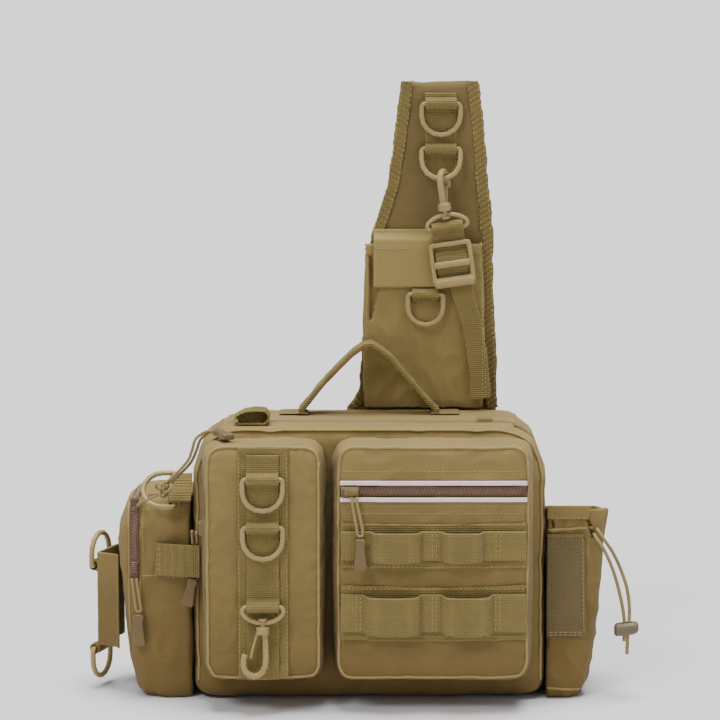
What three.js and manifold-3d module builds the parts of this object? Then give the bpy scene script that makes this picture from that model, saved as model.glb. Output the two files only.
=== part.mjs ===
// Fishing tackle sling bag standing on its flat base, in millimetres.
// x runs to the right, y to the back and z up. The origin is the middle of the main body's base.

import * as THREE from 'three';
import { mergeVertices } from 'three/addons/utils/BufferGeometryUtils.js';
import Module from 'manifold-3d';

const wasm = await Module();
wasm.setup();

// Cloth, webbing and the gap that two sewn pieces keep
const clothWall = 2;
const webbingThick = 1.4;
const webbingWidth = 24.6;
const wideWebbingWidth = 37.4;
const seamGap = 0.3;

// Main body
const bodyWidth = 262;
const bodyDepth = 90;
const bodyHeight = 206;
const bodyShoulder = 34;
const bodyFoot = 12;
const bodyEdge = 9;
const bodyCorner = 12;

// Zips
const zipWidth = 8;
const zipClearance = 0.3;
const mainZipFront = 8;
const mainZipDrop = 56;
const sliderLength = 11;
const sliderRise = 2.6;

// Two pockets on the front
const pocketDepth = 38.5;
const pocketLift = 19;
const pocketTopDrop = 4.5;
const pocketCorner = 13;
const pocketEdge = 6;
const leftPocketInset = 7;
const leftPocketWidth = 93;
const pocketSpacing = 2.5;
const rightPocketInset = 10;
const rightPocketSwell = 1.6;
const pipingWidth = 2.4;

// D rings and their folds
const ringWidth = 33;
const ringHeight = 27;
const ringWire = 3.8;
const ringPlay = 0.6;
const upperRingDrop = 25.5;
const lowerRingDrop = 61;
const swivelDrop = 119;

// Swivel snap hook
const bailDrop = 14;
const bossThick = 3.6;
const bossRadius = 4.6;
const shankRadius = 1.8;
const shankPlay = 0.5;
const headRadius = 3.4;
const headThick = 2;
const collarRadius = 5;
const collarHeight = 5.6;
const hookReach = 16.4;
const hookDrop = 37.3;
const snapBailDrop = 11.5;
const snapHookReach = 13.5;
const snapHookDrop = 29.5;
const hookWire = 4.3;
const hookThick = 4.4;
const gateThick = 1.8;

// Face zip, light piping and webbing grid of the right pocket
const faceZipDrop = 35;
const lightPipingWidth = 3.5;
const lightPipingThick = 1.1;
const gridUpperDrop = 57.5;
const gridUpperHeight = 34;
const gridLowerDrop = 104;
const gridLowerHeight = 41;
const gridLoopRise = 6.2;
const gridLoopWidth = 22.5;
const gridLowerLoopWidth = 29;

// Left end pocket with its strap and rod loop
const leftEndWidth = 56;
const leftEndHeight = 153;
const leftEndFront = 41;
const leftEndBack = 39;
const leftEndCorner = 14;
const endZipInset = 9;
const endZipFoot = 92;
const endStrapFoot = 95.4;
const endStrapLength = 33.5;
const rodLoopFoot = 35;
const rodLoopHeight = 72;
const rodLoopReach = 19;
const rodLoopTurn = 21.6;
const rodUpperRingDrop = 12;
const rodLowerRingDrop = 4;

// Right end pocket with its hem, elastic panel and cord lock
const rightEndWidth = 47;
const rightEndHeight = 148;
const rightEndFront = 42;
const rightEndBack = 38;
const rightEndCorner = 13;
const hemHeight = 10.5;
const elasticWidth = 32;
const elasticFoot = 48.5;
const elasticHeight = 77.5;
const elasticThick = 1.5;
const lockWidth = 18;
const lockRadius = 5.4;
const lockButtonThick = 2.4;

// Grab handle on the top
const handleWidth = 19;
const handleThick = 5;
const handleRise = 52;
const handleSpan = 104;
const handleBack = 13;
const handleTabLength = 16;
const handleTabUnder = 6;

// Shoulder pad behind the body and what is sewn on it
const padThick = 12;
const padAboveBody = 251;
const padTop = bodyHeight + padAboveBody;
const padFoot = 165;
const padWidth = 98;
const padMiddle = 48;
const bindingWidth = 8;
const bindingThick = 1.2;
const padWebbingX = 54;
const padWebbingInset = 10;
const padWebbingTop = padTop - padWebbingInset;
const padWebbingLength = 63;
const padWebbingFoot = padWebbingTop - padWebbingLength;
const padUpperRingDrop = 8.5;
const padUpperRingZ = padWebbingTop - padUpperRingDrop;
const padRingSpacing = 33.7;
const padLowerRingZ = padUpperRingZ - padRingSpacing;
const padLowerRingSwing = 18;
const padPocketWidth = 93;
const padPocketHeight = 128;
const padPocketDepth = 9;
const padPocketX = 41.5;
const flapWidth = 50;
const flapLength = 38;
const flapThick = 2;
const flapX = 28;
const flapRingX = 42.5;
const flapRingWidth = 30.4;
const flapTabWidth = 21;
const adjusterX = 62.4;
const adjusterAboveBody = 113.7;
const adjusterZ = bodyHeight + adjusterAboveBody;
const adjusterTilt = 8;
const snapHookTurn = -65;
const ladderWidth = 32.5;
const ladderHeight = 33;
const ladderThick = 4.2;
const ladderPost = 3.3;
const ladderRecess = 2.2;
const tailAboveBody = 7;
const tailFoot = bodyHeight + tailAboveBody;

// Loops and tabs at the top left
const cornerLoopLength = 23;
const cornerLoopHeight = 11.5;
const cornerLoopX = -86.5;
const cornerLoopWidth = 19;
const cornerLoopInset = 1;
const sideTabLength = 13;
const sideRingAboveEnd = 5.4;
const sideRingZ = leftEndHeight + sideRingAboveEnd;
const sideRingY = -37.2;
const sideRingLean = 41;

// Zip pull cords and their grips
const pullCord = 2.2;
const drawCord = 2.6;
const gripLength = 24;
const gripWidth = 10;
const gripThick = 4.4;

// Values that follow from the sizes above
const halfWidth = bodyWidth / 2;
const halfDepth = bodyDepth / 2;
const frontFace = -halfDepth - seamGap;
const sleeveHole = Math.hypot(ringWire / 2, ringWire / 2) / Math.SQRT2 * 1.16 + ringPlay;
const sleeveRadius = sleeveHole + webbingThick;
const leftPocket = {
  left: -halfWidth + leftPocketInset,
  right: -halfWidth + leftPocketInset + leftPocketWidth,
  front: frontFace - pocketDepth,
  back: frontFace,
  bottom: pocketLift,
  top: bodyHeight - pocketTopDrop,
};
const rightPocket = {
  ...leftPocket,
  left: leftPocket.right + pocketSpacing,
  right: halfWidth - rightPocketInset,
};

// Colours of the cloth, webbing and hardware
const khaki = 0x8c7a50;
const paleKhaki = 0x9a8759;
const webbingOlive = 0x8a7b4e;
const hardwareTan = 0xa8977a;
const zipBrown = 0x8a6a58;
const lightPink = 0xd9cbd6;
const cordTan = 0xa08b62;

const cloth = (color) => new THREE.MeshStandardMaterial({ color, roughness: 0.88, metalness: 0 });
const plastic = (color) => new THREE.MeshStandardMaterial({ color, roughness: 0.45, metalness: 0 });

// A solid from a closed geometry: shared corners are joined and its faces are turned outwards.
function solid(geometry) {
  const bare = geometry.clone();
  bare.deleteAttribute('normal');
  bare.deleteAttribute('uv');
  const welded = mergeVertices(bare);
  const corners = [];
  const index = welded.index.array;
  for (let i = 0; i < index.length; i += 3) {
    const [a, b, c] = [index[i], index[i + 1], index[i + 2]];
    if (a !== b && b !== c && c !== a) corners.push(a, b, c);
  }
  const build = (order) => new wasm.Manifold(new wasm.Mesh({
    numProp: 3,
    vertProperties: new Float32Array(welded.attributes.position.array),
    triVerts: new Uint32Array(order),
  }));
  const first = build(corners);
  if (first.volume() > 0) return first;
  return build(corners.reverse());
}

// A named mesh of a solid, placed by its position and its turns about x, then z, then y.
function piece(name, body, material, place = {}) {
  const shape = body.getMesh();
  const geometry = new THREE.BufferGeometry();
  geometry.setAttribute('position', new THREE.BufferAttribute(shape.vertProperties, 3));
  geometry.setIndex(new THREE.BufferAttribute(shape.triVerts, 1));
  geometry.computeVertexNormals();
  const mesh = new THREE.Mesh(geometry, material);
  mesh.name = name;
  const { at = [0, 0, 0], turn = [0, 0, 0], basis } = place;
  mesh.position.set(...at);
  mesh.rotation.set(...turn.map(THREE.MathUtils.degToRad), 'YZX');
  if (basis) mesh.quaternion.setFromRotationMatrix(basis);
  return mesh;
}

// A box between two opposite corners.
function block(low, high) {
  const size = high.map((value, i) => value - low[i]);
  const geometry = new THREE.BoxGeometry(...size);
  geometry.translate(...low.map((value, i) => value + size[i] / 2));
  return solid(geometry);
}

const alongX = new THREE.Matrix4().makeBasis(
  new THREE.Vector3(0, 1, 0),
  new THREE.Vector3(0, 0, 1),
  new THREE.Vector3(1, 0, 0),
);
const alongY = new THREE.Matrix4().makeBasis(
  new THREE.Vector3(1, 0, 0),
  new THREE.Vector3(0, 0, 1),
  new THREE.Vector3(0, -1, 0),
);

// A flat shape given thickness with a small bevel round its edges.
function slab(shape, thick, bevel = 0) {
  return new THREE.ExtrudeGeometry(shape, {
    depth: thick - 2 * bevel,
    curveSegments: 4,
    bevelEnabled: bevel > 0,
    bevelSize: bevel,
    bevelOffset: -bevel,
    bevelThickness: bevel,
    bevelSegments: 1,
  }).translate(0, 0, bevel);
}

// A shape of (y, z) points that runs from one x to another.
function runX(shape, from, to, bevel) {
  return solid(slab(shape, to - from, bevel).applyMatrix4(alongX).translate(from, 0, 0));
}

// A shape of (x, z) points that runs from a front y to a back y.
function runY(shape, front, back, bevel) {
  return solid(slab(shape, back - front, bevel).applyMatrix4(alongY).translate(0, back, 0));
}

// A shape of (x, y) points that runs from one z to another.
function runZ(shape, from, to, bevel) {
  return solid(slab(shape, to - from, bevel).translate(0, 0, from));
}

const shapeOf = (points) => new THREE.Shape(points.map(([a, b]) => new THREE.Vector2(a, b)));

// The outline of a strap seen edge on: its centre line with half its thickness on each side.
function strapShape(points, thick, smooth = 0) {
  const guide = points.map(([a, b]) => new THREE.Vector2(a, b));
  const line = smooth > 0 ? new THREE.SplineCurve(guide).getPoints(smooth) : guide;
  const sides = [[], []];
  line.forEach((point, i) => {
    const before = line[Math.max(i - 1, 0)];
    const after = line[Math.min(i + 1, line.length - 1)];
    const into = point.clone().sub(before);
    const out = after.clone().sub(point);
    if (into.length() === 0) into.copy(out);
    if (out.length() === 0) out.copy(into);
    into.normalize();
    out.normalize();
    const along = into.clone().add(out).normalize();
    const spread = thick / 2 / Math.max(along.dot(into), 0.5);
    sides[0].push([point.x - along.y * spread, point.y + along.x * spread]);
    sides[1].unshift([point.x + along.y * spread, point.y - along.x * spread]);
  });
  return shapeOf([...sides[0], ...sides[1]]);
}

// A rectangle with round corners between a left, right, low and high edge.
function roundedRectangle(left, right, low, high, radius) {
  const steps = 2;
  const corners = [
    { x: right - radius, z: low + radius, from: -90 },
    { x: right - radius, z: high - radius, from: 0 },
    { x: left + radius, z: high - radius, from: 90 },
    { x: left + radius, z: low + radius, from: 180 },
  ];
  return shapeOf(corners.flatMap(({ x, z, from }) => (
    Array.from({ length: steps + 1 }, (_, i) => {
      const angle = THREE.MathUtils.degToRad(from + (90 * i) / steps);
      return [x + radius * Math.cos(angle), z + radius * Math.sin(angle)];
    })
  )));
}

// A rod of regular section along x, between two x values at a given y and z.
function rodX(radius, sides, from, to, y, z) {
  const geometry = new THREE.CylinderGeometry(radius, radius, to - from, sides);
  geometry.rotateZ(Math.PI / 2);
  geometry.translate((from + to) / 2, y, z);
  return solid(geometry);
}

// A cord of round section through a list of points.
function cordAlong(points, thick, steps) {
  const path = new THREE.CatmullRomCurve3(points.map((point) => new THREE.Vector3(...point)));
  const section = new THREE.Shape();
  const sides = 8;
  for (let i = 0; i < sides; i += 1) {
    const angle = (i / sides) * Math.PI * 2;
    const corner = [Math.cos(angle) * thick / 2, Math.sin(angle) * thick / 2];
    if (i === 0) section.moveTo(...corner);
    else section.lineTo(...corner);
  }
  return solid(new THREE.ExtrudeGeometry(section, { extrudePath: path, steps, bevelEnabled: false }));
}

// Soft forms: level sections joined into one skin

const cornerSteps = 2;

// One level section: round upright corners, with points between them that carry the swell.
function sectionOutline(s) {
  const points = [];
  const corner = (cx, cy, radius, from) => {
    for (let i = 0; i <= cornerSteps; i += 1) {
      const angle = THREE.MathUtils.degToRad(from + (90 * i) / cornerSteps);
      points.push([cx + radius * Math.cos(angle), cy + radius * Math.sin(angle)]);
    }
  };
  const between = (a, b, shares, push) => {
    shares.forEach((share) => {
      const lift = Math.sin(Math.PI * share);
      points.push([
        a[0] + (b[0] - a[0]) * share + push[0] * lift,
        a[1] + (b[1] - a[1]) * share + push[1] * lift,
      ]);
    });
  };
  const { left, right, front, back, cornerLeft: l, cornerRight: r } = s;
  corner(left + l, front + l, l, 180);
  between([left + l, front], [right - r, front], [0.25, 0.5, 0.75], [0, -s.frontSwell]);
  corner(right - r, front + r, r, 270);
  between([right, front + r], [right, back - r], [0.5], [s.sideSwell, 0]);
  corner(right - r, back - r, r, 0);
  between([right - r, back], [left + l, back], [0.25, 0.5, 0.75], [0, s.backSwell]);
  corner(left + l, back - l, l, 90);
  between([left, back - l], [left, front + l], [0.5], [-s.sideSwell, 0]);
  return points;
}

// A closed skin over level sections that all have the same number of points.
function skinOver(sections) {
  const positions = [];
  const index = [];
  const count = sections[0].points.length;
  sections.forEach(({ z, points }) => points.forEach(([x, y]) => positions.push(x, y, z)));
  for (let level = 0; level + 1 < sections.length; level += 1) {
    for (let i = 0; i < count; i += 1) {
      const a = level * count + i;
      const b = level * count + ((i + 1) % count);
      index.push(a, b, b + count, a, b + count, a + count);
    }
  }
  [[0, true], [sections.length - 1, false]].forEach(([level, down]) => {
    const { z, points } = sections[level];
    const middle = positions.length / 3;
    const sum = points.reduce(([sx, sy], [x, y]) => [sx + x, sy + y], [0, 0]);
    positions.push(sum[0] / count, sum[1] / count, z);
    for (let i = 0; i < count; i += 1) {
      const a = level * count + i;
      const b = level * count + ((i + 1) % count);
      index.push(...(down ? [middle, b, a] : [middle, a, b]));
    }
  });
  const geometry = new THREE.BufferGeometry();
  geometry.setAttribute('position', new THREE.Float32BufferAttribute(positions, 3));
  geometry.setIndex(index);
  return solid(geometry);
}

// How far an edge of a given radius draws in, a given distance below or above it.
function edgeInset(distance, radius) {
  if (distance >= radius) return 0;
  return radius - Math.sqrt(radius * radius - (radius - distance) ** 2);
}

// A box of cloth with round edges and swollen faces. The edges' radii are seen from the front
// at the shoulders and feet, from the side at the rims, and from above at the corners.
function softBox(box, edges, arcShares = [0, 0.07, 0.35, 1]) {
  const heights = new Set();
  arcShares.forEach((share) => {
    heights.add(box.bottom + share * edges.foot);
    heights.add(box.top - share * edges.shoulder);
    heights.add(box.top - share * edges.rim);
  });
  heights.add((box.bottom + box.top) / 2);
  const closest = 0.9;
  const levels = [...heights]
    .sort((a, b) => a - b)
    .filter((z, i, all) => i === 0 || z === box.top || z - all[i - 1] > closest);
  const tall = box.top - box.bottom;
  const sections = levels.map((z) => {
    const swell = Math.sin((Math.PI * (z - box.bottom)) / tall);
    const sideInset = edgeInset(z - box.bottom, edges.foot) + edgeInset(box.top - z, edges.shoulder);
    const rimInset = edgeInset(z - box.bottom, edges.foot) + edgeInset(box.top - z, edges.rim);
    return {
      z,
      points: sectionOutline({
        left: box.left + sideInset,
        right: box.right - sideInset,
        front: box.front + rimInset * edges.frontRim,
        back: box.back - rimInset * edges.backRim,
        cornerLeft: edges.corner,
        cornerRight: edges.corner,
        frontSwell: edges.frontSwell * swell,
        backSwell: edges.backSwell * swell,
        sideSwell: edges.sideSwell * swell,
      }),
    };
  });
  return skinOver(sections);
}

// The same box of cloth drawn in by its wall, for the hollow inside it.
function insideOf(box, edges, wall) {
  const less = (value) => Math.max(value - wall, 1);
  return softBox(
    {
      left: box.left + wall,
      right: box.right - wall,
      front: box.front + wall,
      back: box.back - wall,
      bottom: box.bottom + wall,
      top: box.top - wall,
    },
    {
      ...edges,
      foot: less(edges.foot),
      shoulder: less(edges.shoulder),
      rim: less(edges.rim),
      corner: less(edges.corner),
    },
    [0, 0.3, 1],
  );
}

// A hollow form cut open along a slot, and the zip that fills the slot.
function zippedShell(outer, inner, low, high) {
  const shell = outer.subtract(inner);
  const slot = block(low, high);
  const tape = block(
    low.map((value, i) => value + zipClearance * Math.sign(high[i] - low[i])),
    high.map((value) => value - zipClearance),
  );
  return { shell: shell.subtract(slot), zip: shell.intersect(tape) };
}

// Main body: a boxy compartment with wide shoulders, opened by a zip over its top

const bodyBox = {
  left: -halfWidth,
  right: halfWidth,
  front: -halfDepth,
  back: halfDepth,
  bottom: 0,
  top: bodyHeight,
};
const bodyEdges = {
  foot: bodyFoot,
  shoulder: bodyShoulder,
  rim: bodyEdge,
  corner: bodyCorner,
  frontRim: 1,
  backRim: 1,
  frontSwell: 0,
  backSwell: 0,
  sideSwell: 0,
};

function mainBody() {
  const { shell, zip } = zippedShell(
    softBox(bodyBox, bodyEdges),
    insideOf(bodyBox, bodyEdges, clothWall),
    [-halfWidth - 1, -mainZipFront - zipWidth, bodyHeight - mainZipDrop],
    [halfWidth + 1, -mainZipFront, bodyHeight + 1],
  );
  const sliderY = -mainZipFront - zipWidth / 2;
  const sliderX = halfWidth - bodyShoulder - sliderLength * 1.5;
  const slider = block(
    [sliderX, sliderY - zipWidth * 0.4, bodyHeight - clothWall],
    [sliderX + sliderLength, sliderY + zipWidth * 0.4, bodyHeight + sliderRise],
  );
  return [
    piece('main_body', shell, cloth(khaki)),
    piece('main_zip', zip.add(slider), cloth(zipBrown)),
  ];
}

// Front pockets: boxy pouches on the front face, each with a piped edge round its face

const pocketEdges = {
  foot: pocketCorner,
  shoulder: pocketCorner,
  rim: pocketEdge,
  corner: pocketEdge,
  frontRim: 1,
  backRim: 0,
  frontSwell: 0,
  backSwell: 0,
  sideSwell: 1.2,
};
const rightPocketEdges = { ...pocketEdges, frontSwell: rightPocketSwell };
const pocketMiddle = (leftPocket.left + leftPocket.right) / 2;

// A round cord sewn into the edge of a pocket's face, just clear of the edge's rounding.
function edgePiping(box) {
  const inner = pocketEdge * (1 - Math.SQRT1_2) - seamGap;
  const outer = inner - pipingWidth;
  const loop = (inset) => roundedRectangle(
    box.left + inset,
    box.right - inset,
    box.bottom + inset,
    box.top - inset,
    pocketCorner - inset,
  );
  const ring = loop(outer);
  ring.holes.push(loop(inner));
  return runY(ring, box.front + outer, box.front + inner, pipingWidth * 0.25);
}

// Cloth laid on the right pocket's face, following its swell, cut to a shape of (x, z) points.
function layerOnRightPocket(lift, thick, shape) {
  const raised = (by) => softBox({ ...rightPocket, front: rightPocket.front - by }, rightPocketEdges);
  const region = runY(shape, rightPocket.front - 20, rightPocket.front + pocketEdge);
  return raised(lift + thick).subtract(raised(lift)).intersect(region);
}

function leftFrontPocket() {
  const middle = (leftPocket.front + leftPocket.back) / 2 - 2;
  const { shell, zip } = zippedShell(
    softBox(leftPocket, pocketEdges),
    insideOf(leftPocket, pocketEdges, clothWall),
    [leftPocket.left - 3, middle - zipWidth / 2, leftPocket.bottom + 40],
    [leftPocket.left + pocketEdge, middle + zipWidth / 2, leftPocket.top - 22],
  );
  const sliderZ = leftPocket.top - 71;
  const slider = block(
    [leftPocket.left - sliderRise - 1, middle - zipWidth * 0.35, sliderZ],
    [leftPocket.left + clothWall / 2, middle + zipWidth * 0.35, sliderZ + sliderLength],
  );
  const wideFront = leftPocket.front - seamGap - webbingThick;
  const wide = block(
    [pocketMiddle - wideWebbingWidth / 2, wideFront, leftPocket.bottom + pocketEdge],
    [pocketMiddle + wideWebbingWidth / 2, leftPocket.front - seamGap, leftPocket.top - pocketEdge],
  );
  return [
    piece('left_pocket', shell, cloth(khaki)),
    piece('left_pocket_zip', zip.add(slider), cloth(zipBrown)),
    piece('left_pocket_piping', edgePiping(leftPocket), cloth(paleKhaki)),
    piece('left_pocket_wide_webbing', wide, cloth(webbingOlive)),
  ];
}

// D rings: a straight bar held in a webbing fold, with a round bow below it

function dRing(width = ringWidth, height = ringHeight) {
  const wire = ringWire;
  const radius = width / 2;
  const bow = wire / 2 - height + radius;
  const outline = (inset, top) => {
    const shape = new THREE.Shape();
    shape.moveTo(radius - inset, top);
    shape.lineTo(-radius + inset, top);
    shape.lineTo(-radius + inset, bow);
    shape.absarc(0, bow, radius - inset, Math.PI, Math.PI * 2);
    return shape;
  };
  const ring = outline(0, wire / 2);
  ring.holes.push(outline(wire, -wire / 2));
  return runY(ring, -wire / 2, wire / 2, wire * 0.28);
}

// The fold of webbing round a ring's bar, open where the bar runs through. The bar is at (y, z),
// and the fold is joined back to a strap whose front face is at the given y.
function ringFold(middle, width, y, z, strapFront) {
  const sides = 12;
  const fold = rodX(sleeveRadius, sides, middle - width / 2, middle + width / 2, y, z);
  const root = block(
    [middle - width / 2, y, z - webbingThick],
    [middle + width / 2, strapFront + webbingThick / 2, z + sleeveRadius - 0.2],
  );
  const bore = rodX(sleeveHole, sides, middle - width, middle + width, y, z);
  return fold.add(root).subtract(bore);
}

const webbingBack = leftPocket.front - 2 * seamGap - webbingThick;
const webbingFront = webbingBack - webbingThick;
const frontRingY = webbingFront - sleeveHole;
const swivelY = webbingFront - collarRadius - ringPlay;
const frontRingZ = [upperRingDrop, lowerRingDrop].map((drop) => leftPocket.top - drop);
const swivelZ = leftPocket.top - swivelDrop;

function ringWebbing() {
  const strap = block(
    [pocketMiddle - webbingWidth / 2, webbingFront, leftPocket.bottom + pocketEdge * 1.3],
    [pocketMiddle + webbingWidth / 2, webbingBack, leftPocket.top - pocketEdge * 1.3],
  );
  const folds = frontRingZ.map((z) => ringFold(pocketMiddle, webbingWidth, frontRingY, z, webbingFront));
  const deepFold = ringFold(pocketMiddle, webbingWidth, swivelY, swivelZ, webbingFront);
  return piece('ring_webbing', strap.add(folds[0]).add(folds[1]).add(deepFold), cloth(webbingOlive));
}

// The hook's bail: a wide bar in the webbing, two legs and a boss that the hook turns in
function bail(drop) {
  const wire = ringWire;
  const half = ringWidth / 2;
  const foot = -drop;
  const outside = shapeOf([
    [half, wire / 2],
    [-half, wire / 2],
    [-half, -sleeveRadius - 0.4],
    [-bossRadius - 1, foot],
    [bossRadius + 1, foot],
    [half, -sleeveRadius - 0.4],
  ]);
  outside.holes.push(shapeOf([
    [half - wire, -wire / 2],
    [-half + wire, -wire / 2],
    [-half + wire, -sleeveRadius - 0.9],
    [-bossRadius + 0.6, foot + bossThick],
    [bossRadius - 0.6, foot + bossThick],
    [half - wire, -sleeveRadius - 0.9],
  ]));
  const frame = runY(outside, -wire / 2, wire / 2, wire * 0.15);
  const upright = (radius, from, to) => {
    const rod = new THREE.CylinderGeometry(radius, radius, to - from, 12);
    rod.rotateX(Math.PI / 2);
    return solid(rod.translate(0, 0, (from + to) / 2));
  };
  const boss = upright(bossRadius, foot, foot + bossThick);
  const bore = upright(shankRadius + shankPlay, foot - 1, foot + bossThick + 1);
  return frame.add(boss).subtract(bore);
}

// The snap hook below its bail. Its shank turns in the boss, whose underside is at z = 0.
function snapHook(reach, drop) {
  const profile = [
    [0, -collarHeight - seamGap],
    [collarRadius, -collarHeight - seamGap],
    [collarRadius, -seamGap],
    [shankRadius, -seamGap],
    [shankRadius, bossThick + seamGap],
    [headRadius, bossThick + seamGap],
    [headRadius, bossThick + seamGap + headThick],
    [0, bossThick + seamGap + headThick],
  ];
  const turned = new THREE.LatheGeometry(profile.map(([r, z]) => new THREE.Vector2(r, z)), 10);
  const swivel = solid(turned.rotateX(Math.PI / 2));
  const bow = [
    { across: 0.09, down: 0.12 },
    { across: 0.12, down: 0.43 },
    { across: 0.12, down: 0.72 },
    { across: -0.04, down: 0.92 },
    { across: -0.39, down: 1 },
    { across: -0.73, down: 0.93 },
    { across: -0.88, down: 0.76 },
    { across: -0.8, down: 0.56 },
  ].map(({ across, down }) => [across * reach, -down * drop]);
  const arm = runY(strapShape(bow, hookWire, 12), -hookThick / 2, hookThick / 2, 0.8);
  const gate = [
    { across: -0.24, down: 0.12 },
    { across: -0.44, down: 0.42 },
    { across: -0.55, down: 0.64 },
  ].map(({ across, down }) => [across * reach, -down * drop]);
  const lever = runY(strapShape(gate, gateThick), -hookThick / 3, hookThick / 3);
  return swivel.add(arm).add(lever);
}

function frontHardware() {
  const ringAt = (name, z) => (
    piece(name, dRing(), plastic(hardwareTan), { at: [pocketMiddle, frontRingY, z] })
  );
  return [
    ringAt('front_ring_upper', frontRingZ[0]),
    ringAt('front_ring_lower', frontRingZ[1]),
    piece('swivel_ring', bail(bailDrop), plastic(hardwareTan), { at: [pocketMiddle, swivelY, swivelZ] }),
    piece('swivel_hook', snapHook(hookReach, hookDrop), plastic(hardwareTan), {
      at: [pocketMiddle, swivelY, swivelZ - bailDrop],
    }),
  ];
}

// Right pocket: a face zip between two light pipings, over two rows of webbing loops

function rightFrontPocket() {
  const inset = pocketEdge + 1;
  const zipTop = rightPocket.top - faceZipDrop + zipWidth / 2;
  const zipFoot = zipTop - zipWidth;
  const { shell, zip } = zippedShell(
    softBox(rightPocket, rightPocketEdges),
    insideOf(rightPocket, rightPocketEdges, clothWall),
    [rightPocket.left + inset, rightPocket.front - 5, zipFoot],
    [rightPocket.right - inset, rightPocket.front + pocketEdge, zipTop],
  );
  const slider = block(
    [rightPocket.left + inset + 1.5, rightPocket.front - rightPocketSwell - sliderRise, zipFoot + 1.2],
    [rightPocket.left + inset + 1.5 + sliderLength, rightPocket.front + 0.6, zipTop - 1.2],
  );
  const lightPiping = (foot) => layerOnRightPocket(seamGap, lightPipingThick, shapeOf([
    [rightPocket.left + inset, foot],
    [rightPocket.right - inset, foot],
    [rightPocket.right - inset, foot + lightPipingWidth],
    [rightPocket.left + inset, foot + lightPipingWidth],
  ]));
  return [
    piece('right_pocket', shell, cloth(khaki)),
    piece('right_pocket_zip', zip.add(slider), cloth(zipBrown)),
    piece('reflective_piping_upper', lightPiping(zipTop + 0.4), cloth(lightPink)),
    piece('reflective_piping_lower', lightPiping(zipFoot - 0.4 - lightPipingWidth), cloth(lightPink)),
    piece('right_pocket_piping', edgePiping(rightPocket), cloth(paleKhaki)),
  ];
}

// A wavy backing band and, on it, one strap that stands off the face in two loops.
function webbingGrid(label, topZ, height, loopHeight, loops) {
  const left = rightPocket.left + pocketEdge + 1;
  const right = rightPocket.right - pocketEdge - 1;
  const across = (share) => left + (right - left) * share;
  const wave = (z) => [0, 0.2, 0.42, 0.6, 0.8, 1].map((share) => (
    [across(share), z - 0.04 * height * Math.sin(Math.PI * share)]
  ));
  const band = layerOnRightPocket(
    seamGap,
    webbingThick,
    shapeOf([...wave(topZ - height), ...wave(topZ).reverse()]),
  );
  const base = rightPocket.front - rightPocketSwell - 2 * seamGap - 1.5 * webbingThick;
  const line = [[left, base]];
  loops.forEach(({ from, to }) => {
    const width = across(to) - across(from);
    line.push(
      [across(from), base],
      [across(from) + 0.08 * width, base - gridLoopRise * 0.8],
      [across(from) + 0.3 * width, base - gridLoopRise],
      [across(to) - 0.3 * width, base - gridLoopRise],
      [across(to) - 0.08 * width, base - gridLoopRise * 0.8],
      [across(to), base],
    );
  });
  line.push([right, base]);
  const foot = topZ - height / 2 - loopHeight / 2;
  return [
    piece(`molle_band_${label}`, band, cloth(webbingOlive)),
    piece(`molle_loops_${label}`, runZ(strapShape(line, webbingThick), foot, foot + loopHeight),
      cloth(webbingOlive)),
  ];
}

const upperLoops = [{ from: 0.16, to: 0.44 }, { from: 0.54, to: 0.77 }];
const lowerLoops = [{ from: 0.12, to: 0.44 }, { from: 0.54, to: 0.82 }];
const gridUpperTop = rightPocket.top - gridUpperDrop;
const gridLowerTop = rightPocket.top - gridLowerDrop;

// End pockets: soft forms at the body's two ends, wider at the top than at the foot

// Shares of the pocket's height, width, and half depth at each level.
const leftEndLevels = [
  { rise: 0, reach: 0.66, deep: 0.86 },
  { rise: 0.03, reach: 0.74, deep: 0.93 },
  { rise: 0.09, reach: 0.8, deep: 0.97 },
  { rise: 0.2, reach: 0.88, deep: 1 },
  { rise: 0.42, reach: 0.94, deep: 1 },
  { rise: 0.6, reach: 0.95, deep: 0.99 },
  { rise: 0.78, reach: 1, deep: 1 },
  { rise: 0.86, reach: 0.98, deep: 1 },
  { rise: 0.95, reach: 0.89, deep: 0.96 },
  { rise: 1, reach: 0.72, deep: 0.87 },
];
const rightEndLevels = [
  { rise: 0, reach: 0.6, deep: 0.86 },
  { rise: 0.05, reach: 0.66, deep: 0.94 },
  { rise: 0.12, reach: 0.72, deep: 0.98 },
  { rise: 0.26, reach: 0.79, deep: 1 },
  { rise: 0.43, reach: 0.86, deep: 1 },
  { rise: 0.6, reach: 0.9, deep: 0.99 },
  { rise: 0.8, reach: 0.95, deep: 1 },
  { rise: 0.93, reach: 0.97, deep: 0.98 },
  { rise: 1, reach: 1, deep: 1 },
];

// A skin through the levels. side is -1 at the left end and 1 at the right; wall draws it in.
function endForm(levels, size, side, wall, openTop = false) {
  const near = halfWidth + seamGap + wall;
  const sections = levels.map(({ rise, reach, deep }) => {
    const far = halfWidth + seamGap + size.width * reach - wall;
    const [left, right] = side < 0 ? [-far, -near] : [near, far];
    const outer = Math.max(size.corner - wall, 2);
    const inner = Math.max(3 - wall, 1);
    const low = wall;
    const high = openTop ? size.height + wall : size.height - wall;
    return {
      z: low + (high - low) * rise,
      points: sectionOutline({
        left,
        right,
        front: -size.front * deep + wall,
        back: size.back * deep - wall,
        cornerLeft: side < 0 ? outer : inner,
        cornerRight: side < 0 ? inner : outer,
        frontSwell: 0,
        backSwell: 0,
        sideSwell: 0,
      }),
    };
  });
  return skinOver(sections);
}

const leftEnd = {
  width: leftEndWidth,
  height: leftEndHeight,
  front: leftEndFront,
  back: leftEndBack,
  corner: leftEndCorner,
};
const leftEndFar = -halfWidth - seamGap - leftEndWidth;
const endZipX = leftEndFar + endZipInset + zipWidth / 2;

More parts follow.
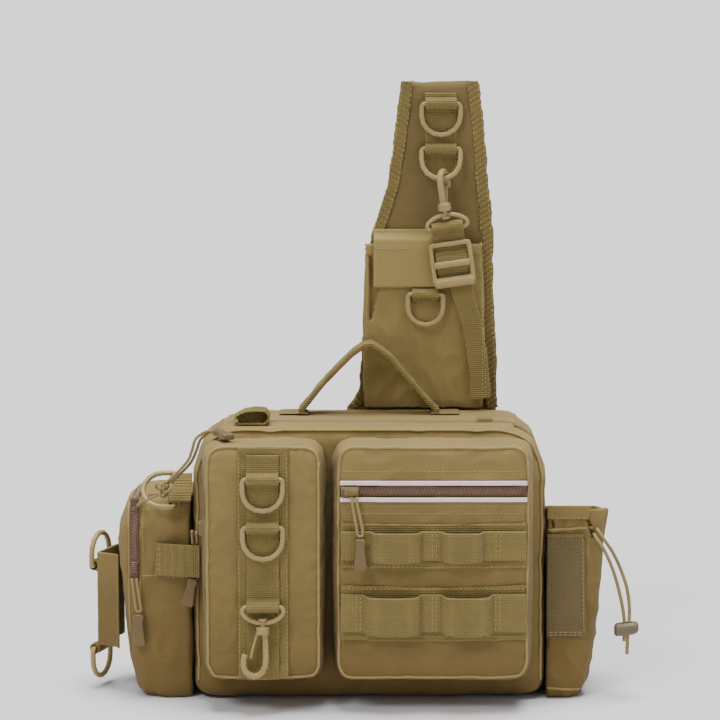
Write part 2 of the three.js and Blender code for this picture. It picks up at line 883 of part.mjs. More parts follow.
function leftEndPocket() {
  const { shell, zip } = zippedShell(
    endForm(leftEndLevels, leftEnd, -1, 0),
    endForm(leftEndLevels, leftEnd, -1, clothWall),
    [endZipX - zipWidth / 2, -leftEndFront - 1, endZipFoot],
    [endZipX + zipWidth / 2, leftEndBack + 1, leftEndHeight + 1],
  );
  const sliders = [
    block(
      [endZipX - zipWidth * 0.36, -leftEndFront - sliderRise, endZipFoot + 2],
      [endZipX + zipWidth * 0.36, -leftEndFront + 1, endZipFoot + 2 + sliderLength],
    ),
    block(
      [endZipX - zipWidth * 0.36, -leftEndFront * 0.9 - sliderRise, leftEndHeight * 0.94],
      [endZipX + zipWidth * 0.36, -leftEndFront * 0.9 + 2.5, leftEndHeight * 0.94 + sliderLength * 0.8],
    ),
  ];
  return [
    piece('left_end_pocket', shell, cloth(khaki)),
    piece('left_end_zip', zip.add(sliders[0]).add(sliders[1]), cloth(zipBrown)),
  ];
}

// The compression strap from the end pocket's front to the left front pocket's side.
function leftEndStrap() {
  const start = -halfWidth - seamGap - endStrapLength * 0.83;
  const across = leftPocket.left - seamGap - start;
  const rest = -leftEndFront - seamGap - webbingThick / 2;
  const line = [
    { along: 0, out: 0 },
    { along: 0.14, out: 3.4 },
    { along: 0.42, out: 6.5 },
    { along: 0.8, out: 9.5 },
    { along: 1, out: 11 },
  ].map(({ along, out }) => [start + across * along, rest - out]);
  const strap = runZ(strapShape(line, webbingThick), endStrapFoot, endStrapFoot + webbingWidth);
  return piece('left_end_strap', strap, cloth(webbingOlive));
}

// Rod loop: a wide band that stands off the left end pocket, with a ring at each of its ends

const rodTurn = THREE.MathUtils.degToRad(rodLoopTurn);
const rodX0 = -halfWidth - seamGap - leftEndWidth * 0.985;
const rodLoopX = rodX0 - rodLoopReach * 0.62;
const rodFaceHalf = 13;
const rodSide = [Math.sin(rodTurn), Math.cos(rodTurn)];

function rodLoop() {
  const face = (share) => [rodLoopX + rodSide[0] * share, rodSide[1] * share];
  const rest = rodX0 - seamGap - webbingThick / 2;
  const line = [
    [rest, -leftEndFront * 0.62],
    [rest - 1, -leftEndFront * 0.52],
    face(-rodFaceHalf - 1.5),
    face(-rodFaceHalf),
    face(0),
    face(rodFaceHalf),
    [rest - 1, leftEndFront * 0.52],
    [rest, leftEndFront * 0.62],
  ];
  const band = runZ(strapShape(line, webbingThick), rodLoopFoot, rodLoopFoot + rodLoopHeight);
  return piece('rod_loop', band, cloth(khaki));
}

// The rod loop's outer webbing is built as it would lie on a front face, then turned to the side.
function rodHardware() {
  const turn = [0, 0, -90 - rodLoopTurn];
  const middle = [rodLoopX, 0, 0];
  const strapBack = -webbingThick / 2 - seamGap;
  const strapFront = strapBack - webbingThick;
  const barY = strapFront - sleeveHole;
  const upperZ = rodLoopFoot + rodLoopHeight - rodUpperRingDrop;
  const lowerZ = rodLoopFoot - rodLowerRingDrop;
  const strap = block(
    [-webbingWidth / 2, strapFront, lowerZ - webbingThick],
    [webbingWidth / 2, strapBack, upperZ + sleeveRadius - 0.2],
  );
  const folds = [upperZ, lowerZ].map((z) => ringFold(0, webbingWidth, barY, z, strapFront));
  const webbing = strap.add(folds[0]).add(folds[1]);
  const ringPlace = (z, flip) => {
    const angle = THREE.MathUtils.degToRad(turn[2]);
    return {
      at: [rodLoopX - Math.sin(angle) * barY, Math.cos(angle) * barY, z],
      turn: [flip, 0, turn[2]],
    };
  };
  return [
    piece('rod_webbing', webbing, cloth(webbingOlive), { at: middle, turn }),
    piece('rod_ring_upper', dRing(), plastic(hardwareTan), ringPlace(upperZ, 180)),
    piece('rod_ring_lower', dRing(), plastic(hardwareTan), ringPlace(lowerZ, 0)),
  ];
}

// Right end pocket: an open pouch with a gathered hem, an elastic panel and a drawcord

const rightEnd = {
  width: rightEndWidth,
  height: rightEndHeight,
  front: rightEndFront,
  back: rightEndBack,
  corner: rightEndCorner,
};

function rightEndPocket() {
  const hemThick = 1.2;
  const shell = endForm(rightEndLevels, rightEnd, 1, 0)
    .subtract(endForm(rightEndLevels, rightEnd, 1, clothWall, true));
  const start = halfWidth + seamGap;
  const panelFront = -rightEndFront - seamGap - elasticThick;
  const panel = runY(shapeOf([
    [start, elasticFoot],
    [start + elasticWidth * 0.95, elasticFoot],
    [start + elasticWidth * 0.87, elasticFoot + elasticHeight],
    [start, elasticFoot + elasticHeight],
  ]), panelFront, -rightEndFront - seamGap);
  const hem = runY(shapeOf([
    [start, rightEndHeight - hemHeight],
    [start + rightEndWidth * 0.66, rightEndHeight - hemHeight],
    [start + rightEndWidth * 0.7, rightEndHeight],
    [start, rightEndHeight],
  ]), -rightEndFront - seamGap - hemThick, -rightEndFront - seamGap);
  return [
    piece('right_end_pocket', shell, cloth(khaki)),
    piece('right_end_hem', hem, cloth(khaki)),
    piece('elastic_panel', panel, cloth(webbingOlive)),
  ];
}

// Hand-chosen points of the drawcord's two strands, from the gathered hole down to the cord lock
const drawcordRight = [
  [168.6, -40.3, 129.6],
  [169.9, -43.2, 127.6],
  [174.5, -44.4, 121],
  [180, -42, 112.5],
  [186, -39, 100],
  [191.3, -37, 84.5],
  [193.6, -36, 69.6],
  [193.4, -36, 58],
  [192.6, -36, 46],
  [192.2, -36, 33.5],
];
const drawcordLeft = [
  [166.2, -41.3, 126],
  [167.6, -45, 123.6],
  [172.6, -47.2, 116.5],
  [178.5, -45.5, 104],
  [183, -42, 91],
  [187.2, -38, 75],
  [189.6, -36, 62],
  [190, -36, 52],
  [189.8, -36, 43.5],
];
const cordLockAt = { x: 191.5, y: -36, z: 53 };

function cordLock() {
  const { x, y, z } = cordLockAt;
  const barrel = rodX(lockRadius, 12, x - lockWidth / 2 + lockButtonThick, x + lockWidth / 2, y, z);
  const button = rodX(lockRadius * 1.15, 12, x - lockWidth / 2, x - lockWidth / 2 + lockButtonThick, y, z);
  const [rightStrand, leftStrand] = [drawcordRight, drawcordLeft].map((route) => route[7][0]);
  const boreX = (rightStrand + leftStrand) / 2;
  const halfBore = (rightStrand - leftStrand) / 2 + drawCord / 2 + 0.7;
  const deepBore = drawCord / 2 + 0.5;
  const bore = block([boreX - halfBore, y - deepBore, z - 9], [boreX + halfBore, y + deepBore, z + 9]);
  return piece('cord_lock', barrel.add(button).subtract(bore), plastic(hardwareTan));
}

// Grab handle: a folded webbing strap, sewn flat to the top at both of its feet
function grabHandle() {
  const base = bodyHeight + seamGap + handleThick * 0.25;
  const half = handleSpan / 2;
  const rise = [
    { across: -1, up: 0.02 },
    { across: -0.94, up: 0.09 },
    { across: -0.74, up: 0.34 },
    { across: -0.49, up: 0.62 },
    { across: -0.26, up: 0.85 },
    { across: -0.09, up: 0.97 },
    { across: 0.02, up: 1 },
    { across: 0.16, up: 0.92 },
    { across: 0.3, up: 0.82 },
    { across: 0.45, up: 0.64 },
    { across: 0.7, up: 0.34 },
    { across: 0.93, up: 0.08 },
    { across: 1, up: 0.02 },
  ].map(({ across, up }) => [across * half, base + up * handleRise]);
  const strap = strapShape(rise, handleThick * 0.75);
  const tab = (from, to) => block(
    [from, handleBack, bodyHeight + seamGap],
    [to, handleBack + handleWidth, bodyHeight + seamGap + webbingThick],
  );
  const bow = runY(strap, handleBack, handleBack + handleWidth);
  const spare = 20;
  const below = block([-half - spare, 0, base - spare], [half + spare, halfDepth, bodyHeight + seamGap]);
  const body = bow.subtract(below)
    .add(tab(-half - handleTabLength, -half + handleTabUnder))
    .add(tab(half - handleTabUnder, half + handleTabLength));
  return piece('grab_handle', body, cloth(webbingOlive));
}

// Shoulder pad: a padded strap that stands behind the body, sewn to its back

// Shares of the pad's height above the body and of its width, for the left and right edge.
const padLevels = [
  { rise: 0, left: -0.68, right: 0.53 },
  { rise: 0.02, left: -0.63, right: 0.52 },
  { rise: 0.06, left: -0.58, right: 0.51 },
  { rise: 0.14, left: -0.56, right: 0.51 },
  { rise: 0.3, left: -0.54, right: 0.49 },
  { rise: 0.44, left: -0.51, right: 0.48 },
  { rise: 0.53, left: -0.48, right: 0.475 },
  { rise: 0.59, left: -0.435, right: 0.465 },
  { rise: 0.68, left: -0.365, right: 0.44 },
  { rise: 0.79, left: -0.32, right: 0.42 },
  { rise: 0.92, left: -0.275, right: 0.385 },
  { rise: 1, left: -0.255, right: 0.355 },
];
const padFront = halfDepth + seamGap;
const padRise = padTop - bodyHeight;
const padEdge = (side, inset) => padLevels.map((level) => [
  padMiddle + level[side] * padWidth + (side === 'left' ? inset : -inset),
  bodyHeight + level.rise * padRise,
]);

function shoulderPad() {
  const left = padEdge('left', 0);
  const right = padEdge('right', 0);
  const outline = shapeOf([
    [left[0][0], padFoot],
    [right[0][0], padFoot],
    ...right,
    ...left.reverse(),
  ]);
  const pad = runY(outline, padFront, padFront + padThick, 2.5);
  const binding = (side) => {
    const above = (edge) => edge.map(([x, z], i) => [x, i === 0 ? z + seamGap * 2 : z]);
    const outer = above(padEdge(side, 0.5));
    const inner = above(padEdge(side, bindingWidth));
    const strip = shapeOf([...outer, ...inner.reverse()]);
    return runY(strip, padFront - seamGap - bindingThick, padFront - seamGap);
  };
  return [
    piece('shoulder_pad', pad, cloth(khaki)),
    piece('pad_binding_left', binding('left'), cloth(webbingOlive)),
    piece('pad_binding_right', binding('right'), cloth(webbingOlive)),
  ];
}

const padWebbingBack = padFront - seamGap;
const padWebbingFront = padWebbingBack - webbingThick;
const padRingY = padWebbingFront - sleeveHole;

function padHardware() {
  const strap = block(
    [padWebbingX - webbingWidth / 2, padWebbingFront, padWebbingFoot],
    [padWebbingX + webbingWidth / 2, padWebbingBack, padWebbingTop],
  );
  const folds = [padUpperRingZ, padLowerRingZ].map((z) => (
    ringFold(padWebbingX, webbingWidth, padRingY, z, padWebbingFront)
  ));
  return [
    piece('pad_webbing', strap.add(folds[0]).add(folds[1]), cloth(webbingOlive)),
    piece('pad_ring_upper', dRing(), plastic(hardwareTan), { at: [padWebbingX, padRingY, padUpperRingZ] }),
    piece('pad_ring_lower', dRing(), plastic(hardwareTan), {
      at: [padWebbingX, padRingY, padLowerRingZ],
      turn: [-padLowerRingSwing, 0, 0],
    }),
  ];
}

// Pad pocket: a flat pouch on the pad, open at its top under a flap

const padPocketFoot = bodyHeight + seamGap * 2;
const padPocketTop = padPocketFoot + padPocketHeight;
const padPocketFront = padFront - seamGap - padPocketDepth;

function padPocket() {
  const levels = [
    { rise: 0, wide: 0.98, deep: 0.8 },
    { rise: 0.05, wide: 0.99, deep: 0.95 },
    { rise: 0.5, wide: 1, deep: 1 },
    { rise: 0.9, wide: 0.985, deep: 1 },
    { rise: 1, wide: 0.98, deep: 0.96 },
  ];
  const wall = 1.6;
  const form = (thin, over) => skinOver(levels.map(({ rise, wide, deep }) => ({
    z: padPocketFoot + thin + rise * (padPocketHeight - thin + over),
    points: sectionOutline({
      left: padPocketX - (padPocketWidth * wide) / 2 + thin,
      right: padPocketX + (padPocketWidth * wide) / 2 - thin,
      front: padFront - seamGap - padPocketDepth * deep + thin,
      back: padFront - seamGap - thin,
      cornerLeft: 2.4 - thin / 2,
      cornerRight: 2.4 - thin / 2,
      frontSwell: 0,
      backSwell: 0,
      sideSwell: 0,
    }),
  })));
  const clear = bindingThick + 2 * seamGap;
  const left = shapeOf([...padEdge('left', -3), ...padEdge('left', bindingWidth + seamGap).reverse()]);
  const right = shapeOf([...padEdge('right', -3), ...padEdge('right', bindingWidth + seamGap).reverse()]);
  const room = [left, right].map((shape) => runY(shape, padFront - seamGap - clear, padFront));
  const shell = form(0, 0).subtract(form(wall, 5)).subtract(room[0]).subtract(room[1]);
  return piece('pad_pocket', shell, cloth(khaki));
}

// The flap bends from the pad over the pocket's mouth and hangs down in front of it.
function padFlap() {
  const back = padWebbingBack - bindingThick - seamGap - flapThick / 2;
  const front = padPocketFront - seamGap * 2 - flapThick / 2;
  const top = padPocketTop + 3.5;
  const line = [
    [back, top + 6],
    [back - 0.5, top + 1.5],
    [(back + front) / 2, top],
    [front + 0.5, top - 1.5],
    [front, top - 7],
    [front, top - flapLength],
  ];
  const flap = runX(strapShape(line, flapThick), flapX - flapWidth / 2, flapX + flapWidth / 2);
  return piece('pad_flap', flap, cloth(khaki));
}

const flapFoot = padPocketTop + 3.5 - flapLength;
const tabBack = padPocketFront - seamGap;
const flapRingY = tabBack - webbingThick - sleeveHole;
const flapRingZ = flapFoot - sleeveRadius - 0.5;

function flapHardware() {
  const strap = block(
    [flapRingX - flapTabWidth / 2, tabBack - webbingThick, flapRingZ - sleeveRadius - 3],
    [flapRingX + flapTabWidth / 2, tabBack, flapFoot - seamGap],
  );
  const tab = strap.add(ringFold(flapRingX, flapTabWidth, flapRingY, flapRingZ, tabBack - webbingThick));
  return [
    piece('flap_ring_tab', tab, cloth(webbingOlive)),
    piece('flap_ring', dRing(flapRingWidth), plastic(hardwareTan), {
      at: [flapRingX, flapRingY, flapRingZ],
    }),
  ];
}

// Adjuster: webbing from the snap hook's bail through the ladder lock, with its tail below
// These are built round the ladder lock's middle and leaned over together.

const adjusterY = padPocketFront - flapThick - 2 * seamGap - ladderThick / 2 - webbingThick - 1.2;
const bailUp = 28;

function adjuster() {
  const half = { wide: ladderWidth / 2, tall: ladderHeight / 2 };
  const frame = roundedRectangle(-half.wide, half.wide, -half.tall, half.tall, 3);
  const inside = half.wide - ladderPost;
  const window = (low, high) => roundedRectangle(-inside, inside, low, high, 0.4);
  frame.holes.push(window(half.tall * 0.08, half.tall * 0.78));
  frame.holes.push(window(-half.tall * 0.62, -half.tall * 0.14));
  const lock = runY(frame, -ladderThick / 2, ladderThick / 2, 0.8);
  const barRecess = block(
    [-half.wide + ladderPost, -ladderThick, -half.tall * 0.14],
    [half.wide - ladderPost, -ladderThick / 2 + ladderRecess, half.tall * 0.08],
  );
  const behind = ladderThick / 2 + seamGap + webbingThick / 2;
  const through = -ladderThick / 2 + ladderRecess - seamGap - webbingThick / 2;
  const line = [
    [0, bailUp - sleeveRadius + webbingThick],
    [behind * 0.7, half.tall + 4],
    [behind, half.tall * 0.95],
    [behind, half.tall * 0.66],
    [through, half.tall * 0.2],
    [through, -half.tall * 0.2],
    [behind, -half.tall * 0.55],
    [behind, -half.tall * 0.9],
  ];
  const strip = runX(strapShape(line, webbingThick), -webbingWidth / 2, webbingWidth / 2);
  const loop = ringFold(0, webbingWidth, 0, bailUp, sleeveRadius - webbingThick);
  const tailTop = -half.tall * 0.8;
  const drop = adjusterZ - tailFoot + tailTop;
  const tailEdges = [
    { down: 0, left: -0.23, right: 0.5 },
    { down: 0.39, left: 0.03, right: 0.66 },
    { down: 0.62, left: 0.05, right: 0.71 },
    { down: 0.82, left: 0.06, right: 0.68 },
    { down: 1, left: -0.05, right: 0.62 },
  ];
  const tailEdge = (side) => tailEdges.map((row) => [row[side] * webbingWidth, tailTop - row.down * drop]);
  const leftEdge = tailEdge('left');
  const rightEdge = tailEdge('right');
  const tail = runY(shapeOf([...leftEdge, ...rightEdge.reverse()]),
    behind - webbingThick / 2, behind + webbingThick / 2);
  const place = (up) => {
    const lean = THREE.MathUtils.degToRad(adjusterTilt);
    return {
      at: [adjusterX - Math.sin(lean) * up, adjusterY, adjusterZ + Math.cos(lean) * up],
      turn: [0, -adjusterTilt, 0],
    };
  };
  const overBail = place(bailUp);
  const hookPlace = place(bailUp + snapBailDrop);
  return [
    piece('adjuster_webbing', strip.add(loop).add(tail), cloth(webbingOlive), place(0)),
    piece('ladder_lock', lock.subtract(barRecess), plastic(hardwareTan), place(0)),
    piece('snap_bail', bail(snapBailDrop), plastic(hardwareTan), {
      at: overBail.at,
      turn: [0, 180 - adjusterTilt, 0],
    }),
    piece('snap_hook', snapHook(snapHookReach, snapHookDrop), plastic(hardwareTan), {
      at: hookPlace.at,
      turn: [0, 180 - adjusterTilt, snapHookTurn],
    }),
  ];
}

// Loop and tab at the top left corner

function cornerLoop() {
  const base = bodyHeight + seamGap + webbingThick / 2;
  const half = cornerLoopLength / 2;
  const line = [
    { across: -1, up: 0 },
    { across: 0.8, up: 0 },
    { across: 1, up: 0.22 },
    { across: 1.05, up: 0.6 },
    { across: 0.85, up: 0.95 },
    { across: 0.2, up: 1 },
    { across: -0.5, up: 0.9 },
    { across: -1, up: 0.62 },
    { across: -1.15, up: 0.3 },
  ].map(({ across, up }) => [cornerLoopX + across * half, base + up * (cornerLoopHeight - webbingThick)]);
  const front = -halfDepth + bodyEdge + cornerLoopInset;
  const back = front + cornerLoopWidth;
  return piece('corner_loop', runY(strapShape(line, webbingThick), front, back), cloth(webbingOlive));
}

// The tab on the body's left side leans over the end pocket's top, and its ring lies to the left.
function sideTabAndRing() {
  const lean = THREE.MathUtils.degToRad(sideRingLean);
  const bar = new THREE.Vector3(0, Math.sin(lean), Math.cos(lean));
  const towardsBody = new THREE.Vector3(1, 0, 0);
  const basis = new THREE.Matrix4().makeBasis(
    bar,
    new THREE.Vector3().crossVectors(towardsBody, bar),
    towardsBody,
  );
  const strap = block(
    [-webbingWidth / 2, sleeveHole, 0],
    [webbingWidth / 2, sleeveHole + webbingThick, sideTabLength],
  );
  const tab = strap.add(ringFold(0, webbingWidth, 0, 0, sleeveHole));
  const place = { at: [-halfWidth - seamGap - sideTabLength, sideRingY, sideRingZ], basis };
  return [
    piece('side_tab', tab, cloth(webbingOlive), place),
    piece('side_ring', dRing(), plastic(hardwareTan), place),
  ];
}

// Cords: each zip pull is a loop of cord from the slider round the top of its grip

const rightPullRoute = [
  [-12.9, -88.2, 163],
  [-12.3, -89.6, 157],
  [-10.9, -90.8, 148],
  [-9.4, -91.4, 140],
  [-8.6, -91.6, 136.2],
  [-6.9, -91.6, 134.5],
  [-5.2, -91.6, 136.2],
  [-5.4, -91.4, 141],
  [-7.2, -90.7, 149],
  [-8.9, -89.5, 157],
  [-9.8, -88.2, 163],
];
const leftPullRoute = [
  [-126.9, -62.4, 131.5],
  [-127, -56.5, 127.5],
  [-127.1, -50.2, 122],
  [-127.2, -48.3, 114],
  [-127.7, -48.4, 104],
  [-128.4, -48.6, 98.2],
  [-130, -48.6, 95.6],
  [-131.7, -48.6, 98],
  [-131.2, -48.4, 104],
  [-130.6, -48.2, 114],
  [-130.4, -50.2, 122.5],
  [-130.3, -56.5, 128.4],
  [-130.1, -62.4, 132.5],
];
const endPullRoute = [
  [-176, -43.2, 93],
  [-175.5, -44, 88],
  [-174.3, -44.4, 79],
  [-173.4, -44.6, 72],
  [-172.7, -44.6, 69],
  [-171.1, -44.6, 67.5],
  [-169.5, -44.6, 69],
  [-169.9, -44.6, 73],
  [-170.9, -44.4, 80],
  [-172.1, -44, 88],
  [-172.8, -43.2, 93],
];
const topPullRoute = [
  [-171.2, -42.6, 147.8],
  [-168.6, -47.6, 151.2],
  [-161, -53, 155.2],
  [-152, -54.2, 160.6],
  [-141, -50.2, 171],
  [-131.5, -49.8, 181],
  [-127.2, -49.2, 190],
  [-124.2, -48.8, 198],
  [-118.8, -48.6, 203.6],
  [-115.4, -48.3, 204.6],
  [-113.9, -49.9, 204.4],
  [-115.2, -51.6, 204.8],
  [-120, -51.8, 204.6],
  [-127.3, -51.6, 199.4],
  [-130.2, -51.8, 190.8],
  [-133.4, -51.8, 183],
  [-142.5, -52.6, 173],
  [-152.6, -53.8, 164.6],
];

// A molded grip that hangs from its eye at the origin, waisted for the fingers.
function grip(long = gripLength, wide = gripWidth) {
  const rows = [
    { down: 0, half: 0.24 },
    { down: 0.08, half: 0.42 },
    { down: 0.3, half: 0.32 },
    { down: 0.62, half: 0.42 },
    { down: 0.9, half: 0.5 },
    { down: 1, half: 0.4 },
  ];
  const side = (sign) => rows.map(({ down, half }) => [sign * half * wide, -down * long]);
  return runY(shapeOf([...side(-1), ...side(1).reverse()]), -gripThick / 2, gripThick / 2, 0.7);
}

const rightGripAt = [-6.8, -91.6, 133];
const leftGripAt = [-130, -48.6, 94.1];
const leftGripShare = 0.9;
const leftGripLean = 14;
const endGripAt = [-171.2, -44.6, 66];
const topGripAt = [-112, -50.4, 204.2];
const topGripTurn = 25;

function pulls() {
  const cord = (name, route, steps) => piece(name, cordAlong(route, pullCord, steps), cloth(cordTan));
  const flat = THREE.MathUtils.degToRad(topGripTurn);
  const along = new THREE.Vector3(Math.sin(flat), -Math.cos(flat), 0);
  const lying = new THREE.Matrix4().makeBasis(
    new THREE.Vector3().crossVectors(along, new THREE.Vector3(0, 0, 1)),
    new THREE.Vector3(0, 0, 1),
    along.clone().negate(),
  );
  return [
    cord('right_pull_cord', rightPullRoute, 14),
    piece('right_pull_grip', grip(), plastic(hardwareTan), { at: rightGripAt }),
    cord('left_pull_cord', leftPullRoute, 18),
    piece('left_pull_grip', grip(gripLength * leftGripShare), plastic(hardwareTan), {
      at: leftGripAt,
      turn: [0, leftGripLean, 0],
    }),
    cord('end_pull_cord', endPullRoute, 14),
    piece('end_pull_grip', grip(), plastic(hardwareTan), { at: endGripAt }),
    cord('top_pull_cord', topPullRoute, 34),
    piece('top_pull_grip', grip(), plastic(hardwareTan), { at: topGripAt, basis: lying }),
  ];
}

const bag = new THREE.Group();
bag.add(
  ...mainBody(),
  ...leftFrontPocket(),
  ringWebbing(),
  ...frontHardware(),
  ...rightFrontPocket(),
  ...webbingGrid('upper', gridUpperTop, gridUpperHeight, gridLoopWidth, upperLoops),
  ...webbingGrid('lower', gridLowerTop, gridLowerHeight, gridLowerLoopWidth, lowerLoops),
  ...leftEndPocket(),
  leftEndStrap(),
  rodLoop(),
  ...rodHardware(),
  ...rightEndPocket(),
  cordLock(),
  piece('drawcord_right', cordAlong(drawcordRight, drawCord, 18), cloth(cordTan)),
  piece('drawcord_left', cordAlong(drawcordLeft, drawCord, 16), cloth(cordTan)),
  grabHandle(),
  ...shoulderPad(),
  ...padHardware(),
  padPocket(),
  padFlap(),
  ...flapHardware(),
  ...adjuster(),
  cornerLoop(),
  ...sideTabAndRing(),
  ...pulls(),
);

export default bag;
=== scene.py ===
import math

import bmesh
import bpy
import numpy as np
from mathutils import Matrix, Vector
from mathutils.bvhtree import BVHTree


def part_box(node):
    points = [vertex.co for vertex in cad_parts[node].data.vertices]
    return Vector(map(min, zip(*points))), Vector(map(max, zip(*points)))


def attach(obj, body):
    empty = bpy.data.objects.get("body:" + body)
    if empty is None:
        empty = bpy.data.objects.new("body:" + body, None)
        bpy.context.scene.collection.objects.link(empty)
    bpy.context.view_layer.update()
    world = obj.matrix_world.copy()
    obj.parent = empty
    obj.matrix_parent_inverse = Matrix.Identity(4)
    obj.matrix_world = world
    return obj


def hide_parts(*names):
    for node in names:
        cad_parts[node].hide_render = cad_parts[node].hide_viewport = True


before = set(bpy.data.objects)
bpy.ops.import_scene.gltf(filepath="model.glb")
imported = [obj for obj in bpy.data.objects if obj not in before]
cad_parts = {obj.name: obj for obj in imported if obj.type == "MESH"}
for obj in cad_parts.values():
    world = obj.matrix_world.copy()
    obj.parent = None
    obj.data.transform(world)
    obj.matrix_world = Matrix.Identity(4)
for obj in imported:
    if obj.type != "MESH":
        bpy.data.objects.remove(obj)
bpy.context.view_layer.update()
collection = bpy.context.scene.collection

# Camera: stands in front of the bag and looks slightly down on it, through a long lens.
# Its place follows from the horizon and the size of the bag in the picture.
look_at = Vector((-0.007, -0.020, 0.253))
camera_tilt = math.radians(8.5)
camera_reach = 2.2
camera_data = bpy.data.cameras.new("camera")
camera_data.sensor_width = 36
camera_data.lens = 148.5
camera = bpy.data.objects.new("camera", camera_data)
collection.objects.link(camera)
camera.location = look_at + camera_reach * Vector((0, -math.cos(camera_tilt), math.sin(camera_tilt)))
camera.rotation_euler = (math.radians(90) - camera_tilt, 0, 0)
bpy.context.scene.camera = camera


# Floor: a wide flat sheet of pale grey paper under the bag. It isn't part of the bag.
def paint(hex_colour):
    channels = [int(hex_colour[i:i + 2], 16) / 255 for i in (1, 3, 5)]
    return [c / 12.92 if c <= 0.04045 else ((c + 0.055) / 1.055) ** 2.4 for c in channels] + [1]


def shader_of(nodes):
    return next(node for node in nodes if node.type == "BSDF_PRINCIPLED")


def new_material(name, roughness, **others):
    """A material with its nodes, links and shader; other values are given by their input's name."""
    material = bpy.data.materials.new(name)
    material.use_nodes = True
    shader = shader_of(material.node_tree.nodes)
    shader.inputs["Roughness"].default_value = roughness
    for key, value in others.items():
        shader.inputs[key].default_value = value
    return material, material.node_tree.nodes, material.node_tree.links, shader


paper, nodes, links, shader = new_material("floor_paper", roughness=0.9)
shader.inputs["Base Color"].default_value = paint("#d3d2d4")
paper_bump = nodes.new("ShaderNodeBump")
paper_bump.inputs["Strength"].default_value = 0.02
paper_grain = nodes.new("ShaderNodeTexNoise")
paper_grain.inputs["Scale"].default_value = 300
links.new(paper_grain.outputs["Fac"], paper_bump.inputs["Height"])
links.new(paper_bump.outputs["Normal"], shader.inputs["Normal"])

floor_reach = 40
corners = [(x * floor_reach, y * floor_reach, 0) for x, y in ((-1, -1), (1, -1), (1, 1), (-1, 1))]
floor_mesh = bpy.data.meshes.new("floor")
floor_mesh.from_pydata(corners, [], [(0, 1, 2, 3)])
floor_mesh.materials.append(paper)
floor = bpy.data.objects.new("floor", floor_mesh)
collection.objects.link(floor)

# Lights: soft even light from above left, a weaker one from the right, and one from overhead.
# Each comes from one direction, so that the floor is as bright far away as it is near the bag.
world = bpy.data.worlds.new("studio")
bpy.context.scene.world = world
world.use_nodes = True
world.node_tree.nodes["Background"].inputs["Color"].default_value = (0.97, 0.96, 1.0, 1)
world.node_tree.nodes["Background"].inputs["Strength"].default_value = 0.36


def soft_light(name, place, spread, strength):
    """Light from the direction of a place, softened over a spread in degrees."""
    data = bpy.data.lights.new(name, "SUN")
    data.angle = math.radians(spread)
    data.energy = strength
    light = bpy.data.objects.new(name, data)
    collection.objects.link(light)
    light.rotation_euler = (look_at - Vector(place)).to_track_quat("-Z", "Y").to_euler()


soft_light("key_light", (-1.3, -1.8, 2.5), 20, 1.45)
soft_light("fill_light", (1.8, -1.7, 1.0), 35, 0.3)
soft_light("top_light", (0.1, -0.1, 2.3), 32, 5.2)


# Cords: braided polyester, 2.2 mm on the zip pulls and 2.6 mm on the bottle pocket.
# Each is a round tube along its route, and its braid is in the material.
def two_tones(nodes, first_at, first, second_at, second):
    """A run from one colour to another between two values."""
    run = nodes.new("ShaderNodeValToRGB")
    for element, at, colour in zip(run.color_ramp.elements, (first_at, second_at), (first, second)):
        element.position = at
        element.color = (*colour, 1)
    return run


def mixed_tone(nodes, links, shader, hex_colour, darker, size, edge_wear_and_highlight_tone=0.3):
    """Slow patches of a lighter and a darker tone, and lighter edges: wear on cloth, and a painted
    highlight on moulded plastic.
    """
    place = nodes.new("ShaderNodeTexCoord")
    patches = nodes.new("ShaderNodeTexNoise")
    patches.inputs["Scale"].default_value = size
    patches.inputs["Detail"].default_value = 5
    base = paint(hex_colour)
    tone = two_tones(nodes, 0.3, [c * darker for c in base[:3]], 0.72, base[:3])
    links.new(place.outputs["Object"], patches.inputs["Vector"])
    links.new(patches.outputs["Fac"], tone.inputs["Fac"])
    # Lighter edges: wear on cloth, and a painted highlight on moulded plastic.
    edges = nodes.new("ShaderNodeNewGeometry")
    edge_wear_and_highlight = two_tones(nodes, 0.5, [0] * 3, 0.62, [edge_wear_and_highlight_tone] * 3)
    lighter = nodes.new("ShaderNodeMixRGB")
    lighter.inputs["Color2"].default_value = [min(1, c * 1.7) for c in base[:3]] + [1]
    links.new(edges.outputs["Pointiness"], edge_wear_and_highlight.inputs["Fac"])
    links.new(edge_wear_and_highlight.outputs["Color"], lighter.inputs["Fac"])
    links.new(tone.outputs["Color"], lighter.inputs["Color1"])
    links.new(lighter.outputs["Color"], shader.inputs["Base Color"])
    return place


def combined(nodes, links, operation, *values):
    """One operation on heights and numbers."""
    joined = nodes.new("ShaderNodeMath")
    joined.operation = operation
    for value, socket in zip(values, joined.inputs):
        if isinstance(value, (int, float)):
            socket.default_value = value
        else:
            links.new(value, socket)
    return joined.outputs[0]


def threads(nodes, links, place, direction, pitch):
    """Evenly spaced threads across one direction, as a height from -0.5 to 0.5."""
    wave = nodes.new("ShaderNodeTexWave")
    wave.bands_direction = direction
    wave.inputs["Scale"].default_value = 0.314 / pitch
    wave.inputs["Distortion"].default_value = 0
    links.new(place.outputs["Object"], wave.inputs["Vector"])
    return combined(nodes, links, "SUBTRACT", wave.outputs["Fac"], 0.5)


def raised(nodes, links, shader, height, depth, strength):
    bump = nodes.new("ShaderNodeBump")
    bump.inputs["Distance"].default_value = depth
    bump.inputs["Strength"].default_value = strength
    links.new(height, bump.inputs["Height"])
    links.new(bump.outputs["Normal"], shader.inputs["Normal"])


